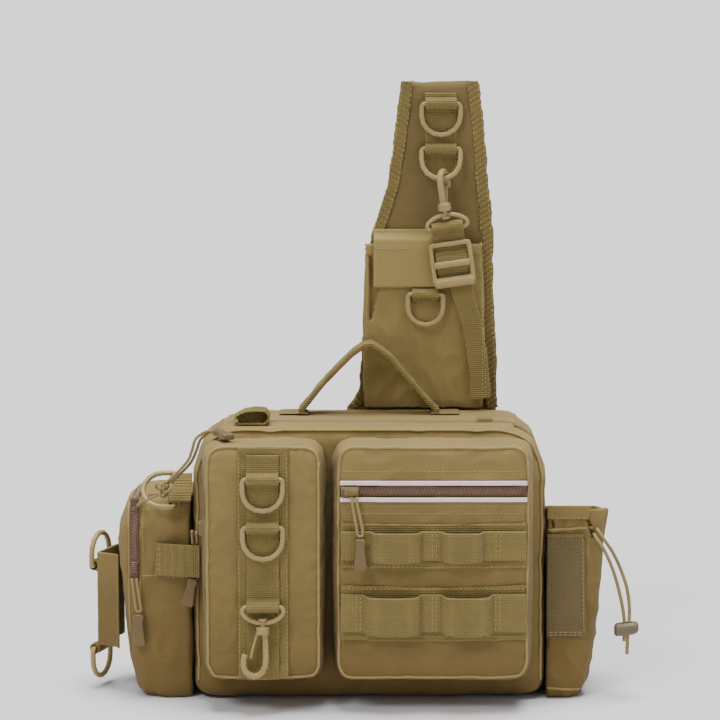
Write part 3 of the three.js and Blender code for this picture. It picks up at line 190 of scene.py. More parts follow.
def braided(name, hex_colour, pitch, depth):
    """A braid: slanted threads crossing the other slanted threads."""
    material, nodes, links, shader = new_material(name, 0.75, **{"Sheen Weight": 0.05})
    place = mixed_tone(nodes, links, shader, hex_colour, darker=0.75, size=250)
    slanted = threads(nodes, links, place, "DIAGONAL", pitch)
    upright = threads(nodes, links, place, "Z", pitch * 1.3)
    crossed = combined(nodes, links, "MULTIPLY", slanted, upright)
    raised(nodes, links, shader, crossed, depth, strength=0.8)
    return material


cord_braid = braided("cord_braid", "#8a7648", pitch=0.0011, depth=0.0005)


def show(name, mesh, material, body, nodes_replaced=()):
    """Puts a finished mesh in the scene on its body, in place of the plain solids."""
    piece = bpy.data.objects.new(name, mesh)
    collection.objects.link(piece)
    mesh.materials.clear()
    mesh.materials.append(material)
    for face in mesh.polygons:
        face.use_smooth = True
    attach(piece, body)
    if nodes_replaced:
        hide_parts(*nodes_replaced)
    return piece


def smooth_route(points, step):
    """Even steps along a smooth curve through the points."""
    points = [Vector(p) for p in points]
    padded = [2 * points[0] - points[1]] + points + [2 * points[-1] - points[-2]]
    fine = []
    for a, b, c, d in zip(padded, padded[1:], padded[2:], padded[3:]):
        for t in np.linspace(0, 1, 24, endpoint=False):
            bend = 2 * a - 5 * b + 4 * c - d
            twist = 3 * b - a - 3 * c + d
            fine.append(0.5 * (2 * b + (c - a) * t + bend * t * t + twist * t ** 3))
    fine.append(points[-1])
    fine = np.array([list(p) for p in fine])
    gone = np.concatenate([[0], np.cumsum(np.linalg.norm(np.diff(fine, axis=0), axis=1))])
    count = max(2, int(round(gone[-1] / step)) + 1)
    even = np.linspace(0, gone[-1], count)
    return [Vector([np.interp(s, gone, fine[:, k]) for k in range(3)]) for s in even], gone[-1]


def tube_mesh(name, route, radius, sides=12):
    """A closed round tube along a route."""
    mesh = bpy.data.meshes.new(name)
    vertices, faces = [], []
    across = None
    for i, point in enumerate(route):
        ahead = route[min(i + 1, len(route) - 1)] - route[max(i - 1, 0)]
        ahead.normalize()
        if across is None:
            across = ahead.orthogonal().normalized()
        across = (across - ahead * across.dot(ahead)).normalized()
        up = ahead.cross(across)
        for k in range(sides):
            angle = 2 * math.pi * k / sides
            vertices.append(point + radius * (math.cos(angle) * across + math.sin(angle) * up))
    for i in range(len(route) - 1):
        for k in range(sides):
            a, b = i * sides + k, i * sides + (k + 1) % sides
            faces.append((a, b, b + sides, a + sides))
    faces.append(tuple(reversed(range(sides))))
    faces.append(tuple(range(len(vertices) - sides, len(vertices))))
    mesh.from_pydata([tuple(v) for v in vertices], [], faces)
    return mesh


def working_piece(mesh):
    worker = bpy.data.objects.new("worker", mesh)
    collection.objects.link(worker)
    return worker


def worked_mesh(worker):
    """The mesh that a working piece's modifiers give; the working piece is taken away."""
    bpy.context.view_layer.update()
    shape = worker.evaluated_get(bpy.context.evaluated_depsgraph_get())
    finished = bpy.data.meshes.new_from_object(shape)
    bpy.data.objects.remove(worker)
    return finished


def remade_mesh(node, grain, rounds=3, filled=False):
    """The node's form again in small even faces with soft edges; its hollow is closed if filled."""
    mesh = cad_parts[node].data.copy()
    form = bmesh.new()
    form.from_mesh(mesh)
    bmesh.ops.remove_doubles(form, verts=form.verts, dist=1e-6)
    if filled:
        skin = bmesh.ops.convex_hull(form, input=form.verts)
        hidden = skin["geom_interior"] + skin["geom_unused"]
        inside = {e for e in hidden if isinstance(e, bmesh.types.BMVert)}
        bmesh.ops.delete(form, geom=list(inside), context="VERTS")
        outer = bmesh.ops.convex_hull(form, input=form.verts)["geom"]
        keep = {e for e in outer if isinstance(e, bmesh.types.BMFace)}
        bmesh.ops.delete(form, geom=[f for f in form.faces if f not in keep], context="FACES_ONLY")
    form.to_mesh(mesh)
    form.free()
    worker = working_piece(mesh)
    remesh = worker.modifiers.new("even", "REMESH")
    remesh.mode = "VOXEL"
    remesh.voxel_size = grain
    soften = worker.modifiers.new("soften", "SMOOTH")
    soften.factor = 0.5
    soften.iterations = rounds
    return worked_mesh(worker)


def coordinates(mesh):
    places = np.empty(len(mesh.vertices) * 3)
    mesh.vertices.foreach_get("co", places)
    return places.reshape(-1, 3)


def put_back(mesh, places):
    mesh.vertices.foreach_set("co", places.ravel())
    mesh.update()


def moulded_plastic(name, hex_colour, roughness):
    """Moulded plastic with a fine grain, and its edges a little lighter: a painted highlight."""
    material, nodes, links, shader = new_material(name, roughness, **{"Specular IOR Level": 0.45})
    place = mixed_tone(nodes, links, shader, hex_colour, darker=0.82, size=60, edge_wear_and_highlight_tone=0.12)
    grain = nodes.new("ShaderNodeTexNoise")
    grain.inputs["Scale"].default_value = 1400
    grain.inputs["Detail"].default_value = 3
    links.new(place.outputs["Object"], grain.inputs["Vector"])
    raised(nodes, links, shader, grain.outputs["Fac"], depth=0.0002, strength=0.35)
    return material


soft_rubber = moulded_plastic("grip_rubber", "#6b5632", roughness=0.5)
lock_plastic = moulded_plastic("lock_plastic", "#63583f", roughness=0.5)


def moulded_piece(node, material, body="bag", grain=0.0005):
    """A moulded fitting in the form of its solid, with its edges rounded as they leave the mould."""
    return show(node + "_moulded", remade_mesh(node, grain), material, body, [node])


fitting_grain = 0.00045
lock_rise = 0.001


def rounded_lock(node):
    """The cord lock, narrower towards its two ends and hanging a little askew."""
    mesh = remade_mesh(node, fitting_grain, rounds=8)
    low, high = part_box(node)
    places = coordinates(mesh)
    middle, half_long = np.array((low + high) / 2), (high.x - low.x) / 2
    along = (places[:, 0] - middle[0]) / half_long
    narrowed = np.sqrt(np.clip(1 - 0.7 * along ** 4, 0.2, 1))
    places[:, 1:] = middle[1:] + (places[:, 1:] - middle[1:]) * narrowed[:, None]
    places[:, 2] += lock_rise * along
    put_back(mesh, places)
    return show(node + "_moulded", mesh, lock_plastic, "bag", [node])


knot_at = Vector((-0.1512, -0.0542, 0.1625))
knot_size = 0.0021


def knot_piece(thick):
    """An overhand knot with three crossings, where the long pull is tied over the side ring."""
    route = []
    for t in np.linspace(0, 2 * math.pi, 49):
        right = math.sin(t) + 2 * math.sin(2 * t)
        back = -1.3 * math.sin(3 * t)
        up = math.cos(t) - 2 * math.cos(2 * t)
        route.append(knot_at + knot_size * Vector((right, back, up)))
    return show("pull_knot", tube_mesh("pull_knot", route, thick * 0.45), cord_braid, "bag")


cord_routes = {
    "right_pull_cord": (0.0022, "right_pull_grip", [
        (-12.9, -88.2, 163), (-12.3, -89.6, 157), (-10.9, -90.8, 148), (-9.4, -91.4, 140),
        (-8.6, -91.6, 136.2), (-6.9, -91.6, 134.5), (-5.2, -91.6, 136.2), (-5.4, -91.4, 141),
        (-7.2, -90.7, 149), (-8.9, -89.5, 157), (-9.8, -88.2, 163)]),
    "left_pull_cord": (0.0022, "left_pull_grip", [
        (-126.9, -62.4, 131.5), (-127, -56.5, 127.5), (-127.1, -50.2, 122), (-127.2, -48.3, 114),
        (-127.7, -48.4, 104), (-128.4, -48.6, 98.2), (-130, -48.6, 95.6), (-131.7, -48.6, 98),
        (-131.2, -48.4, 104), (-130.6, -48.2, 114), (-130.4, -50.2, 122.5), (-130.3, -56.5, 128.4),
        (-130.1, -62.4, 132.5)]),
    "end_pull_cord": (0.0022, "end_pull_grip", [
        (-176, -43.2, 93), (-175.5, -44, 88), (-174.3, -44.4, 79), (-173.4, -44.6, 72),
        (-172.7, -44.6, 69), (-171.1, -44.6, 67.5), (-169.5, -44.6, 69), (-169.9, -44.6, 73),
        (-170.9, -44.4, 80), (-172.1, -44, 88), (-172.8, -43.2, 93)]),
    "top_pull_cord": (0.0022, "top_pull_grip", [
        (-171.2, -42.6, 147.8), (-168.6, -47.6, 151.2), (-161, -53, 155.2), (-152, -54.2, 160.6),
        (-141, -50.2, 171), (-131.5, -49.8, 181), (-127.2, -49.2, 190), (-124.2, -48.8, 198),
        (-118.8, -48.6, 203.6), (-115.4, -48.3, 204.6), (-113.9, -49.9, 204.4),
        (-115.2, -51.6, 204.8), (-120, -51.8, 204.6), (-127.3, -51.6, 199.4),
        (-130.2, -51.8, 190.8), (-133.4, -51.8, 183), (-142.5, -52.6, 173), (-152.6, -53.8, 164.6)]),
    "drawcord_right": (0.0026, "cord_lock", [
        (168.6, -40.3, 129.6), (169.9, -43.2, 127.6), (174.5, -44.4, 121), (180, -42, 112.5),
        (186, -39, 100), (191.3, -37, 84.5), (193.6, -36, 69.6), (193.4, -36, 58),
        (192.6, -36, 46), (192.2, -36, 33.5)]),
    "drawcord_left": (0.0026, None, [
        (166.2, -41.3, 126), (167.6, -45, 123.6), (172.6, -47.2, 116.5), (178.5, -45.5, 104),
        (183, -42, 91), (187.2, -38, 75), (189.6, -36, 62), (190, -36, 52), (189.8, -36, 43.5)]),
}
for node, (thick, fitting, points) in cord_routes.items():
    route, length = smooth_route([Vector(p) / 1000 for p in points], step=thick * 0.7)
    cord = show(node + "_braid", tube_mesh(node, route, thick / 2), cord_braid, "bag", [node])
    loop = node.endswith("pull_cord")
    if loop:
        moulded_piece(fitting, soft_rubber, grain=fitting_grain)
    elif fitting:
        rounded_lock(fitting)
    if node == "top_pull_cord":
        knot_piece(thick)


# Main compartment: a boxy body of coated polyester, soft at its edges.
# The hull of its solid is remade in small faces, and broad dents and small puckers are pressed in.
def slow_waves(places, size, seed):
    """Smooth uneven height from -1 to 1 over the points, with features of about one size."""
    chance = np.random.RandomState(seed)
    total = np.zeros(len(places))
    waves = 28
    for _ in range(waves):
        way = chance.normal(size=3)
        way /= np.linalg.norm(way)
        length = size * chance.uniform(0.7, 1.6)
        total += np.sin(places @ way * 2 * math.pi / length + chance.uniform(0, 6.3))
    return total / math.sqrt(waves)


def directions(mesh):
    ways = np.empty(len(mesh.vertices) * 3)
    mesh.vertices.foreach_get("normal", ways)
    return ways.reshape(-1, 3)


def creased(mesh, deep, size, seed, stretch=(1, 1, 1)):
    """Presses soft creases into the surface, which stands proud of its old place by only a little."""
    places = coordinates(mesh)
    swell = slow_waves(places * np.array(stretch), size, seed)
    fine = slow_waves(places * np.array(stretch), size * 0.37, seed + 1)
    height = deep * (0.65 * np.minimum(swell, 0.25) - 0.45 * np.abs(fine))
    put_back(mesh, places + directions(mesh) * height[:, None])


def shaded(nodes, links, height, darkest, dark_at=0, light_at=1):
    """Multiplies the colour by a painted shade that goes from its darkest tone to white."""
    shader = shader_of(nodes)
    shade = two_tones(nodes, dark_at, darkest, light_at, [1] * 3)
    darkened = nodes.new("ShaderNodeMixRGB")
    darkened.blend_type = "MULTIPLY"
    darkened.inputs["Fac"].default_value = 1
    links.new(height, shade.inputs["Fac"])
    links.new(shader.inputs["Base Color"].links[0].from_socket, darkened.inputs["Color1"])
    links.new(shade.outputs["Color"], darkened.inputs["Color2"])
    links.new(darkened.outputs["Color"], shader.inputs["Base Color"])


def shade_painted_below(material, low, high, lowest):
    """The cloth's colour is painted darker from one height down to another: painted shade towards the
    floor.
    """
    nodes, links = material.node_tree.nodes, material.node_tree.links
    place = nodes.new("ShaderNodeTexCoord")
    split = nodes.new("ShaderNodeSeparateXYZ")
    links.new(place.outputs["Object"], split.inputs["Vector"])
    span = nodes.new("ShaderNodeMapRange")
    span.inputs["From Min"].default_value = low
    span.inputs["From Max"].default_value = high
    links.new(split.outputs["Z"], span.inputs["Value"])
    shaded(nodes, links, span.outputs["Result"], lowest)


def set_back(mesh, node, room, deep, shift=0):
    """Lets a zip or band into the cloth: the surface near that node is pressed inward."""
    low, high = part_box(node)
    low, high = np.array(low) - room + shift, np.array(high) + room + shift
    places = coordinates(mesh)
    near = np.all((places > low) & (places < high), axis=1)
    put_back(mesh, places - directions(mesh) * (deep * near)[:, None])


def shaded_gaps(nodes, links, height, gain, darkest):
    """Paints shade into the colour in the low places between threads."""
    spread = combined(nodes, links, "MULTIPLY_ADD", height, gain, 0.5)
    shaded(nodes, links, spread, [darkest] * 3, dark_at=0.15, light_at=0.7)


textile = {"Specular IOR Level": 0.3, "Sheen Weight": 0.04}


def woven(name, hex_colour, pitch, depth, darker=0.86, strength=0.6, patch=28):
    """A plain weave: threads in three directions, so that it shows on faces that look any way."""
    material, nodes, links, shader = new_material(name, roughness=0.82, **textile)
    place = mixed_tone(nodes, links, shader, hex_colour, darker, patch)
    x, y, z = (threads(nodes, links, place, d, pitch) for d in "XYZ")
    front = combined(nodes, links, "MULTIPLY", x, z)
    side = combined(nodes, links, "MULTIPLY", y, z)
    top = combined(nodes, links, "MULTIPLY", x, y)
    weave = combined(nodes, links, "ADD", combined(nodes, links, "ADD", front, side), top)
    raised(nodes, links, shader, weave, depth, strength)
    shaded_gaps(nodes, links, weave, gain=1.4, darkest=0.88)
    return material


cloth_tan = woven("coated_cloth", "#8c7846", pitch=0.0012, depth=0.0003, darker=0.82, patch=20)
# Painted shade: the cloth's colour is darkened towards the floor.
shade_painted_below(cloth_tan, low=0.03, high=0.19, lowest=(0.66, 0.60, 0.52))
body_mesh = remade_mesh("main_body", grain=0.0028, rounds=4, filled=True)
creased(body_mesh, deep=0.0014, size=0.055, seed=3)

# Its top lies close under the straps that are sewn to it, and its zip is let into the cloth.
top_layer, top_lift = 0.003, 0.75
low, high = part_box("main_body")
places = coordinates(body_mesh)
below = high.z - places[:, 2]
places[:, 2] += np.where(below < top_layer, below * top_lift, 0)
put_back(body_mesh, places)
set_back(body_mesh, "main_zip", room=0.0004, deep=0.0014)
body_piece = show("main_body_cloth", body_mesh, cloth_tan, "bag", ["main_body"])


# Front pockets: two flat boxes sewn to the body's front, each with piping round its face.
# Their faces are slightly crowned, and the cloth puckers where the piping is sewn on.
def puckered(mesh, low, high, deep, seed):
    """Small folds that run in from the seam round a face that looks forward."""
    places = coordinates(mesh)
    from_side = np.minimum(places[:, 0] - low[0], high[0] - places[:, 0])
    from_end = np.minimum(places[:, 2] - low[2], high[2] - places[:, 2])
    inward = np.clip(np.minimum(from_side, from_end), 0, None)
    along = np.where(from_side < from_end, places[:, 2], places[:, 0])
    folds = np.sin(along * 2 * math.pi / 0.011 + 2.5 * slow_waves(places, 0.05, seed))
    facing = np.clip(-directions(mesh)[:, 1], 0, 1)
    fade = np.exp(-inward / 0.007) * facing
    places[:, 1] += deep * fade * (0.5 + 0.5 * folds)
    put_back(mesh, places)


def surface_of(piece):
    return BVHTree.FromObject(piece, bpy.context.evaluated_depsgraph_get())


face_inset, face_rise, base_rise, top_drop = 0.0048, 0.0052, 0.0012, 0.0014


def tapered(places, node):
    """A front pocket narrows from its back to its face, and its lower seams are drawn up."""
    low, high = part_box(node)
    forward = np.clip((high.y - places[:, 1]) / (high.y - low.y), 0, 1)
    middle, half = (low.x + high.x) / 2, (high.x - low.x) / 2
    share = np.clip((places[:, 2] - low.z) / (high.z - low.z), 0, 1)
    fitted = places.copy()
    fitted[:, 0] = middle + (places[:, 0] - middle) * (1 - face_inset / half * forward)
    rise = base_rise + (face_rise - base_rise) * forward
    fitted[:, 2] += rise * (1 - share) ** 2 - top_drop * share
    return fitted


pocket_cloths = {}
for side, seed in (("left", 11), ("right", 23)):
    node = side + "_pocket"
    pocket_mesh = remade_mesh(node, grain=0.0024, filled=True)
    put_back(pocket_mesh, tapered(coordinates(pocket_mesh), node))
    zip_low, zip_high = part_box(node + "_zip")
    zip_middle = np.array([(zip_low + zip_high) / 2])
    shift = (tapered(zip_middle, node) - zip_middle)[0] if side == "left" else np.zeros(3)
    set_back(pocket_mesh, node + "_zip", room=0.0006, deep=0.0024, shift=shift)
    creased(pocket_mesh, deep=0.0012, size=0.045, seed=seed)
    low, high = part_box(node)
    inset = Vector((face_inset, 0, 0))
    puckered(pocket_mesh, low + inset, high - inset, deep=0.0011, seed=seed)
    pocket_cloths[side] = show(node + "_cloth", pocket_mesh, cloth_tan, "bag", [node])

# The piping's cloth is a little lighter than the body's cloth: a painted highlight on its raised edge.
piping_tan = woven("piping_cloth", "#96824f", pitch=0.0009, depth=0.0002)
piping_thick, piping_turn = 0.0021, 0.0135


def round_the_corner(middle, radius, start, end, y):
    """Points on a quarter turn in a plane that faces forward, angles in degrees."""
    angles = np.radians(np.linspace(start, end, 9))
    return [(middle[0] + radius * math.cos(a), y, middle[1] + radius * math.sin(a)) for a in angles]


def even_route(points, step):
    """Even steps along straight lines from point to point."""
    corners = np.array([list(p) for p in points])
    gone = np.concatenate([[0], np.cumsum(np.linalg.norm(np.diff(corners, axis=0), axis=1))])
    even = np.linspace(0, gone[-1], max(2, int(round(gone[-1] / step)) + 1))
    return [Vector([np.interp(s, gone, corners[:, k]) for k in range(3)]) for s in even]


def laid_on(route, piece, proud):
    """Moves a route onto a piece's surface, standing proud of it by a little."""
    surface = surface_of(piece)
    laid = []
    for point in route:
        spot, facing, _, _ = surface.find_nearest(point)
        laid.append(spot + facing * proud)
    last = len(laid) - 1
    for _ in range(3):
        laid = [(laid[max(i - 1, 0)] + 2 * laid[i] + laid[min(i + 1, last)]) / 4 for i in range(last + 1)]
    return laid


for side in ("left", "right"):
    node = side + "_pocket_piping"
    low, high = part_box(node)
    reach = piping_thick / 2
    left, right, bottom, top = low.x + reach, high.x - reach, low.z + reach, high.z - reach
    y, turn = low.y + reach, piping_turn
    loop = round_the_corner((right - turn, top - turn), turn, 0, 90, y)
    loop += round_the_corner((left + turn, top - turn), turn, 90, 180, y)
    loop += round_the_corner((left + turn, bottom + turn), turn, 180, 270, y)
    loop += round_the_corner((right - turn, bottom + turn), turn, 270, 360, y)
    loop.append(loop[0])
    route = tapered(np.array([list(p) for p in even_route(loop, step=0.0016)]), side + "_pocket")
    route = laid_on([Vector(p) for p in route], pocket_cloths[side], proud=reach * 0.55)
    route[-1] = route[0]
    show(node + "_cloth", tube_mesh(node, route, reach), piping_tan, "bag", [node])

# The body's own front edge has the same piping, from one side over the shoulders to the other.
low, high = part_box("main_body")
edge_in, shoulder, foot = 0.0015, 0.032, 0.014
edge_y = low.y + edge_in
left, right, top = low.x + edge_in, high.x - edge_in, high.z - edge_in
edge = [(right, edge_y, foot)]
edge += round_the_corner((right - shoulder, top - shoulder), shoulder, 0, 90, edge_y)
edge += round_the_corner((left + shoulder, top - shoulder), shoulder, 90, 180, edge_y)
edge += [(left, edge_y, foot)]
edge_route = laid_on(even_route(edge, step=0.002), body_piece, proud=0.0006)
edge_mesh = tube_mesh("body_edge_piping", edge_route, radius=0.001)
show("body_edge_piping", edge_mesh, piping_tan, "bag")


# Zips: brown coil zips with two rows of teeth, sewn into slots in the cloth.
# The tape and slider are the solid's form, and each tooth is a small rounded bar laid on it.
zip_tape = woven("zip_tape", "#664e38", pitch=0.0013, depth=0.0004, strength=0.9)
zip_tooth, nodes, links, shader = new_material("zip_tooth", roughness=0.4)
mixed_tone(nodes, links, shader, "#7d6350", darker=0.7, size=300)
ray_start = 0.5


def from_front(x, z):
    """A ray that comes from in front of the bag; the next two come from above and from its left."""
    return Vector((x, -ray_start, z)), Vector((0, 1, 0))


def from_above(x, y):
    return Vector((x, y, ray_start)), Vector((0, 0, -1))


def from_left(y, z):
    return Vector((-ray_start, y, z)), Vector((1, 0, 0))


def small_bars(name, bars):
    """One mesh of small bars with bevelled tops, each given by its middle and three half sides."""
    vertices, faces = [], []
    profile = ((-1, -1), (-1, 1), (1, 1), (1, -1))
    for middle, long, wide, high in bars:
        start = len(vertices)
        for level, share in ((-0.6, 1.0), (0.5, 0.92), (1.0, 0.55)):
            for a, b in profile:
                vertices.append(tuple(middle + share * (long * a + wide * b) + high * level))
        for row in (0, 4):
            for k in range(4):
                n = (k + 1) % 4
                faces.append(tuple(start + row + corner for corner in (k, n, 4 + n, 4 + k)))
        faces.append((start + 8, start + 9, start + 10, start + 11))
        faces.append((start + 3, start + 2, start + 1, start))
    mesh = bpy.data.meshes.new(name)
    mesh.from_pydata(vertices, [], faces)
    return mesh


tooth_aside, tooth_half, tooth_rise = 0.0004, 0.0021, 0.0005


def zip_teeth(name, piece, rays, pitch):
    """Teeth on a zip piece, where the rays meet it."""
    surface = surface_of(piece)
    hits = [surface.ray_cast(*ray) for ray in rays]
    spots = [(spot, facing) for spot, facing, _, _ in hits if spot is not None]
    bars = []
    for i in range(1, len(spots) - 1):
        along = spots[i + 1][0] - spots[i - 1][0]
        if along.length < 1e-6 or along.length > pitch * 4:
            continue
        along.normalize()
        out = spots[i][1]
        across = along.cross(out).normalized()
        middle = spots[i][0] + across * (tooth_aside if i % 2 else -tooth_aside)
        bars.append((middle, across * tooth_half, along * pitch * 0.3, out * tooth_rise))
    show(name, small_bars(name, bars), zip_tooth, "bag")


khaki_tape = woven("khaki_tape", "#7d6c40", pitch=0.0013, depth=0.0004, strength=0.9)
tape_cloths = {
    "main_zip": khaki_tape, "left_pocket_zip": khaki_tape,
    "right_pocket_zip": zip_tape, "left_end_zip": zip_tape,
}
tapes = {}
for node, tape_cloth in tape_cloths.items():
    tape_mesh = remade_mesh(node, grain=0.0008, rounds=2)
    if node == "left_pocket_zip":
        put_back(tape_mesh, tapered(coordinates(tape_mesh), "left_pocket"))
    tapes[node] = show(node + "_tape", tape_mesh, tape_cloth, "bag", [node])

low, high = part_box("main_zip")
pitch, zip_y = 0.0014, -0.012
rays = [from_above(x, zip_y) for x in np.arange(low.x + 0.012, high.x - 0.012, pitch)]
zip_teeth("main_zip_teeth", tapes["main_zip"], rays, pitch)

low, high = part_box("left_pocket_zip")
pitch, middle_y = 0.0013, (low.y + high.y) / 2
rays = [from_left(middle_y, z) for z in np.arange(low.z + 0.003, high.z - 0.003, pitch)]
zip_teeth("left_zip_teeth", tapes["left_pocket_zip"], rays, pitch)

low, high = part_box("left_end_zip")
pitch, middle_x = 0.0014, (low.x + high.x) / 2
rays = [from_above(middle_x, y) for y in np.arange(low.y + 0.006, high.y - 0.004, pitch)]
zip_teeth("left_end_teeth", tapes["left_end_zip"], rays, pitch)
rays = [from_front(middle_x, z) for z in np.arange(low.z + 0.004, high.z - 0.006, pitch)]
zip_teeth("left_end_front_teeth", tapes["left_end_zip"], rays, pitch)

# The face zip ends on the left in a cloth garage with its slider half under it.
low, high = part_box("right_pocket_zip")
pitch, middle_z = 0.0012, (low.z + high.z) / 2
rays = [from_front(x, middle_z) for x in np.arange(low.x + 0.013, high.x - 0.002, pitch)]
zip_teeth("right_zip_teeth", tapes["right_pocket_zip"], rays, pitch)
garage_at, slider_at = (low.x + 0.0068, low.y + 0.0012, middle_z), (low.x + 0.0092, low.y, middle_z)
garage = [
    [Vector(side) for side in (garage_at, (0.0064, 0, 0), (0, 0, 0.0036), (0, -0.0013, 0))],
    [Vector(side) for side in (slider_at, (0.0034, 0, 0), (0, 0, 0.0024), (0, -0.0012, 0))],
]
show("right_zip_slider", small_bars("right_zip_slider", garage), khaki_tape, "bag")


# Pale piping above and below the face zip: a cord in reflective tape, sewn in with the zip.
# Its face has the fine beads of reflective cloth.
pale_tape, nodes, links, shader = new_material("pale_reflective", roughness=0.38)
pale_place = mixed_tone(nodes, links, shader, "#ead2d6", darker=0.9, size=120)
beads = nodes.new("ShaderNodeTexVoronoi")
beads.inputs["Scale"].default_value = 2400
links.new(pale_place.outputs["Object"], beads.inputs["Vector"])
raised(nodes, links, shader, beads.outputs["Distance"], depth=0.0002, strength=0.3)
for node in ("reflective_piping_upper", "reflective_piping_lower"):
    show(node + "_tape", remade_mesh(node, grain=0.0005), pale_tape, "bag", [node])


# Webbing: flat polyester straps, sewn down with rows of thread, in wavy loops on the right pocket.
# Each is its solid's form again, slightly uneven, with the coarse weave in the material.
def ribbed(name, hex_colour, pitch, depth, gaps):
    """Webbing: the ribs of its weft cross the lines of its warp in a fine grid."""
    material, nodes, links, shader = new_material(name, roughness=0.8, **textile)
    place = mixed_tone(nodes, links, shader, hex_colour, darker=0.84, size=45)
    x, y, z = (threads(nodes, links, place, d, pitch) for d in "XYZ")
    grid = combined(nodes, links, "ADD", combined(nodes, links, "ADD", x, y), z)
    raised(nodes, links, shader, grid, depth, strength=0.8)
    shaded_gaps(nodes, links, grid, gain=0.6, darkest=gaps)
    return material


webbing_olive = ribbed("webbing_weave", "#7f6e3c", pitch=0.0016, depth=0.0004, gaps=0.8)
strap_grain, strap_wave, strap_proud = 0.0009, 0.0003, 0.0002
wide_end, wide_top_up, wide_bottom_up = 0.02, 0.0035, 0.0032


def webbing_piece(node, seed, grain=strap_grain):
    """A strap, slightly uneven; both ends of the wide webbing are drawn up with the pocket's face."""
    mesh = remade_mesh(node, grain, rounds=2)
    places = coordinates(mesh)
    lift = slow_waves(places, 0.018, seed) * strap_wave
    places += directions(mesh) * np.minimum(lift, strap_proud)[:, None]
    if node == "left_pocket_wide_webbing":
        low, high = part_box(node)
        places[:, 2] += wide_top_up * np.clip((places[:, 2] - high.z) / wide_end + 1, 0, 1)
        places[:, 2] += wide_bottom_up * np.clip((low.z - places[:, 2]) / wide_end + 1, 0, 1)
    put_back(mesh, places)
    return show(node + "_weave", mesh, webbing_olive, "bag", [node])


binding_weave = ribbed("binding_weave", "#82703f", pitch=0.0011, depth=0.0003, gaps=0.86)
ruffle_pitch, ruffle_deep, ruffle_wide = 0.0042, 0.0005, 0.009
edge_uneven, binding_wide, binding_spread, binding_below = 0.0004, 0.012, 0.3, 0.0016


def binding_piece(node, inward, seed):
    """A wide binding: its inner edge lies further in, and slanting rows of thread ruffle it."""
    mesh = remade_mesh(node, strap_grain, rounds=2)
    places = coordinates(mesh)
    steps = np.arange(places[:, 2].min(), places[:, 2].max(), 0.006)
    rows = [inward * places[np.abs(places[:, 2] - z) < 0.004, 0] for z in steps]
    outer = np.interp(places[:, 2], steps, [row.min() for row in rows])
    across = inward * places[:, 0] - outer
    places[:, 0] += inward * np.clip(across, 0, binding_wide) * binding_spread
    ruffle = np.sin((places[:, 2] + 0.8 * across) * 2 * math.pi / ruffle_pitch)
    edging = slow_waves(places, 0.02, seed)
    places[:, 1] -= ruffle_deep * (1 + ruffle) * (across < ruffle_wide)
    places[:, 0] += inward * edge_uneven * edging
    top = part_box("shoulder_pad")[1].z - binding_below
    places[:, 2] = np.minimum(places[:, 2], top)
    put_back(mesh, places)
    return show(node + "_weave", mesh, binding_weave, "bag", [node])


def bowed(node, extra, sag):
    """Loops of a webbing grid that stand off the band behind them and sag a little."""
    mesh = remade_mesh(node, strap_grain, rounds=2)
    low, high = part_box(node)
    places = coordinates(mesh)
    off = np.clip((high.y - places[:, 1]) / (high.y - low.y), 0, 1)
    places[:, 1] -= extra * off
    places[:, 2] -= sag * off * off
    put_back(mesh, places)
    return show(node + "_weave", mesh, webbing_olive, "bag", [node])


strap_nodes = (
    "left_pocket_wide_webbing", "ring_webbing", "molle_band_upper", "molle_band_lower",
    "left_end_strap", "rod_webbing", "pad_webbing",
    "flap_ring_tab", "adjuster_webbing", "corner_loop", "side_tab",
)
straps = {node: webbing_piece(node, seed=40 + k) for k, node in enumerate(strap_nodes)}
handle = webbing_piece("grab_handle", seed=71, grain=0.001)
bowed("molle_loops_upper", extra=0.0008, sag=0.0008)
bowed("molle_loops_lower", extra=0.0008, sag=0.002)
binding_piece("pad_binding_left", inward=1, seed=71)
binding_piece("pad_binding_right", inward=-1, seed=72)

# The corner loop is closed at its back by the end of its own webbing, folded in.
fold_mesh = remade_mesh("corner_loop", grain=0.0012, rounds=2, filled=True)
low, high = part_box("corner_loop")
places = coordinates(fold_mesh)
middle = np.array((low + high) / 2)
fold_front, fold_share, inside_share = 0.0075, 0.55, 0.88
for axis in (0, 2):
    places[:, axis] = middle[axis] + (places[:, axis] - middle[axis]) * inside_share
places[:, 1] = low.y + fold_front + (places[:, 1] - low.y) * fold_share
put_back(fold_mesh, places)
show("corner_loop_fold", fold_mesh, webbing_olive, "bag")


# Rings and hooks: moulded acetal D rings in the webbing's folds, a swivel hook below them,
# and the snap hook that joins the strap's end to the lower ring on the pad.
moulded = moulded_plastic("moulded_acetal", "#9a8452", roughness=0.42)
corner = 0.0052


def d_ring(node, body, across=(1, 0, 0), up=(0, 0, 1)):
    """A D ring with the two corners of its straight bar rounded off; up is from bow to bar."""
    ring = moulded_piece(node, moulded, body, grain=0.0004)
    across, up = np.array(across), np.array(up)
    places = coordinates(ring.data)
    sideways, upwards = places @ across, places @ up
    middle = (sideways.min() + sideways.max()) / 2
    out = np.abs(sideways - middle) - ((sideways.max() - sideways.min()) / 2 - corner)
    over = upwards - (upwards.max() - corner)
    reach = np.hypot(out, over)
    at_corner = (out > 0) & (over > 0) & (reach > corner)
    cut = np.where(at_corner, 1 - corner / np.maximum(reach, 1e-9), 0)
    places -= across * (np.sign(sideways - middle) * out * cut)[:, None]
    places -= up * (over * cut)[:, None]
    put_back(ring.data, places)


bail_wire, strap_lean = 0.0017, math.radians(8)
bail_outline = ((0, 1), (0.78, 1), (0.98, 0.72), (0.98, 0.2), (0.72, -0.42), (0.32, -0.82), (0, -0.95))


